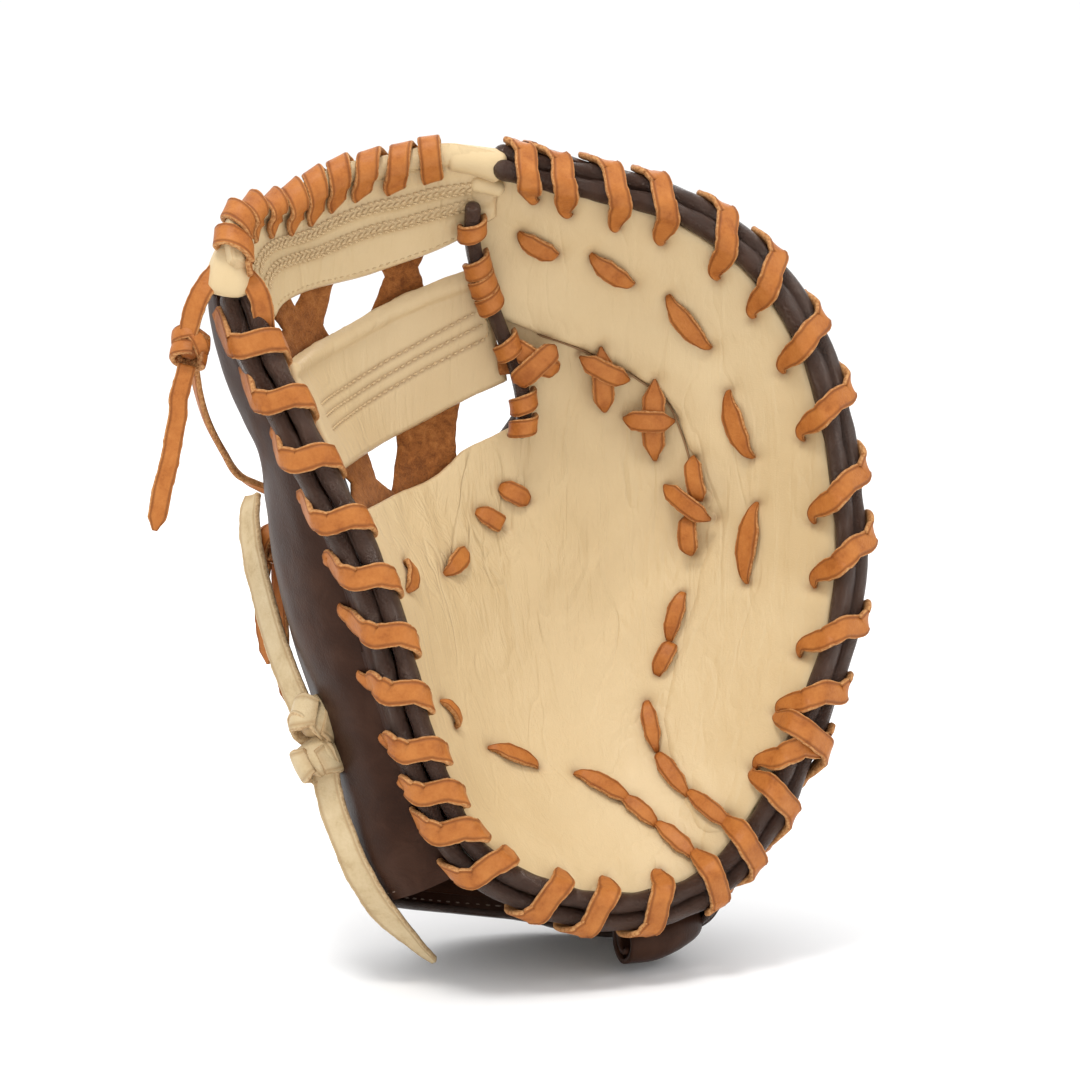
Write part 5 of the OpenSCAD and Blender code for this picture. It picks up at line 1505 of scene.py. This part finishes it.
def makeLinings():
    for name, node, side, net, downs, acrosses in (
            ("thumbLining", "thumb_lining", "thumb", thumbNet, (0.04, 0.5), (0.2, 0.94)),
            ("fingerLining", "finger_lining", "finger", fingerNet, (0.04, 0.75), (0.06, 0.8))):
        down, across = np.meshgrid(np.linspace(*downs, 40), np.linspace(*acrosses, 30), indexing="ij")
        points = netPoint(net, down, across)
        points = offNet(net, down, across, -inside["liningGap"]) + ripple(points, 14, 3)[..., None] * 0.2
        shell(name, node, side, points)
    for name, node, side, place, us, vs, sign in (
            ("palmLiningThumb", "palm_lining_thumb", "thumb", thumbFlat, (0.12, 0.78), (0.2, 1), -1),
            ("palmLiningFinger", "palm_lining_finger", "finger", fingerFlat, (0.1, 0.46), (0, 0.95), 1)):
        grid = []
        for u in np.linspace(*us, 24):
            height = along(palmRows, u)[0] if side == "thumb" else mix(*inside["fingerHeights"], u)
            bead = [foldX(height) + sign * inside["beadSide"], stance["foldY"] - 0.6, height]
            toBead = np.clip(np.linspace(-3, 1, 24) if side == "thumb" else np.linspace(1, -3, 24), 0, 1)
            grid.append([mix(offBowl(place(u, v), inside["palmLining"]), bead, share)
                         for v, share in zip(np.linspace(*vs, 24), toBead)])
        shell(name, node, side, np.array(grid))


def makeBeadAndLoops():
    bead, heights = Bundle(), np.linspace(*inside["beadHeights"], 20)
    tube(bead, np.stack([foldX(heights), np.full(20, float(stance["foldY"])), heights], 1),
         inside["beadRadius"], sides=14)
    move(bead.build("foldBead", "dark"), "finger", "fold_bead")
    for name, node, side, centre in (("thumbLoop", "thumb_loop", "thumb", (-88, -12, -25.5)),
                                     ("littleFingerLoop", "little_finger_loop", "finger", (82, -6, -25.5))):
        loop = Bundle()
        facing = np.insert(compass(np.linspace(0, 356, 40)), 2, 0, 1)
        strip(loop, np.array(centre) + facing * [*inside["loop"], 0], facing, inside["loopWidth"],
              inside["loopThick"], ends=(0, 0), seed=90, curl=0)
        move(loop.build(name, "lace"), side, node)


makePads()
makeLinings()
makeBeadAndLoops()
print("wrist and inside made")

# Plain floor and soft lights: place, aim, size, power and colour
stage = {"floorSize": 40, "floorTone": (0.96, 0.96, 0.96), "world": 1.08, "lights": {
    "keyLight": ((-0.35, -0.75, 1.9), (0, 0, 0.15), 0.5, 16, (1, 0.99, 0.97)),
    "fillLight": ((1.4, -1.2, 0.8), (0, 0, 0.15), 1.4, 3, (0.97, 0.98, 1)),
    "topLight": ((0.1, 0.1, 1.9), (0, 0, 0.1), 1.5, 6, (1, 1, 1)),
    "backLight": ((0.2, 1.5, 1.1), (0, 0, 0.15), 1.2, 5, (1, 1, 1))}}


def makeStage():
    bpy.ops.mesh.primitive_plane_add(size=stage["floorSize"], location=(0, 0, 0))
    floor = bpy.context.active_object
    floor.name = "floor"
    floor.data.materials.append(Paint("floor").finish({"Base Color": stage["floorTone"], "Roughness": 0.9,
                                                       "Specular IOR Level": 0.1}))
    for name, (spot, aim, size, power, tone) in stage["lights"].items():
        data = bpy.data.lights.new(name, "AREA")
        data.shape, data.size, data.energy, data.color = "DISK", size, power, tone
        light = bpy.data.objects.new(name, data)
        light.location = spot
        light.rotation_euler = (Vector(aim) - Vector(spot)).to_track_quat("-Z", "Y").to_euler()
        bpy.context.scene.collection.objects.link(light)
    world = bpy.data.worlds.new("studio")
    bpy.context.scene.world = world
    world.use_nodes = True
    background = world.node_tree.nodes["Background"].inputs
    background["Color"].default_value, background["Strength"].default_value = (1, 1, 1, 1), stage["world"]
    bpy.context.scene.view_settings.view_transform = "Standard"
    bpy.context.scene.view_settings.look = "None"


makeStage()

bpy.ops.object.select_all(action="DESELECT")
print("scene made")
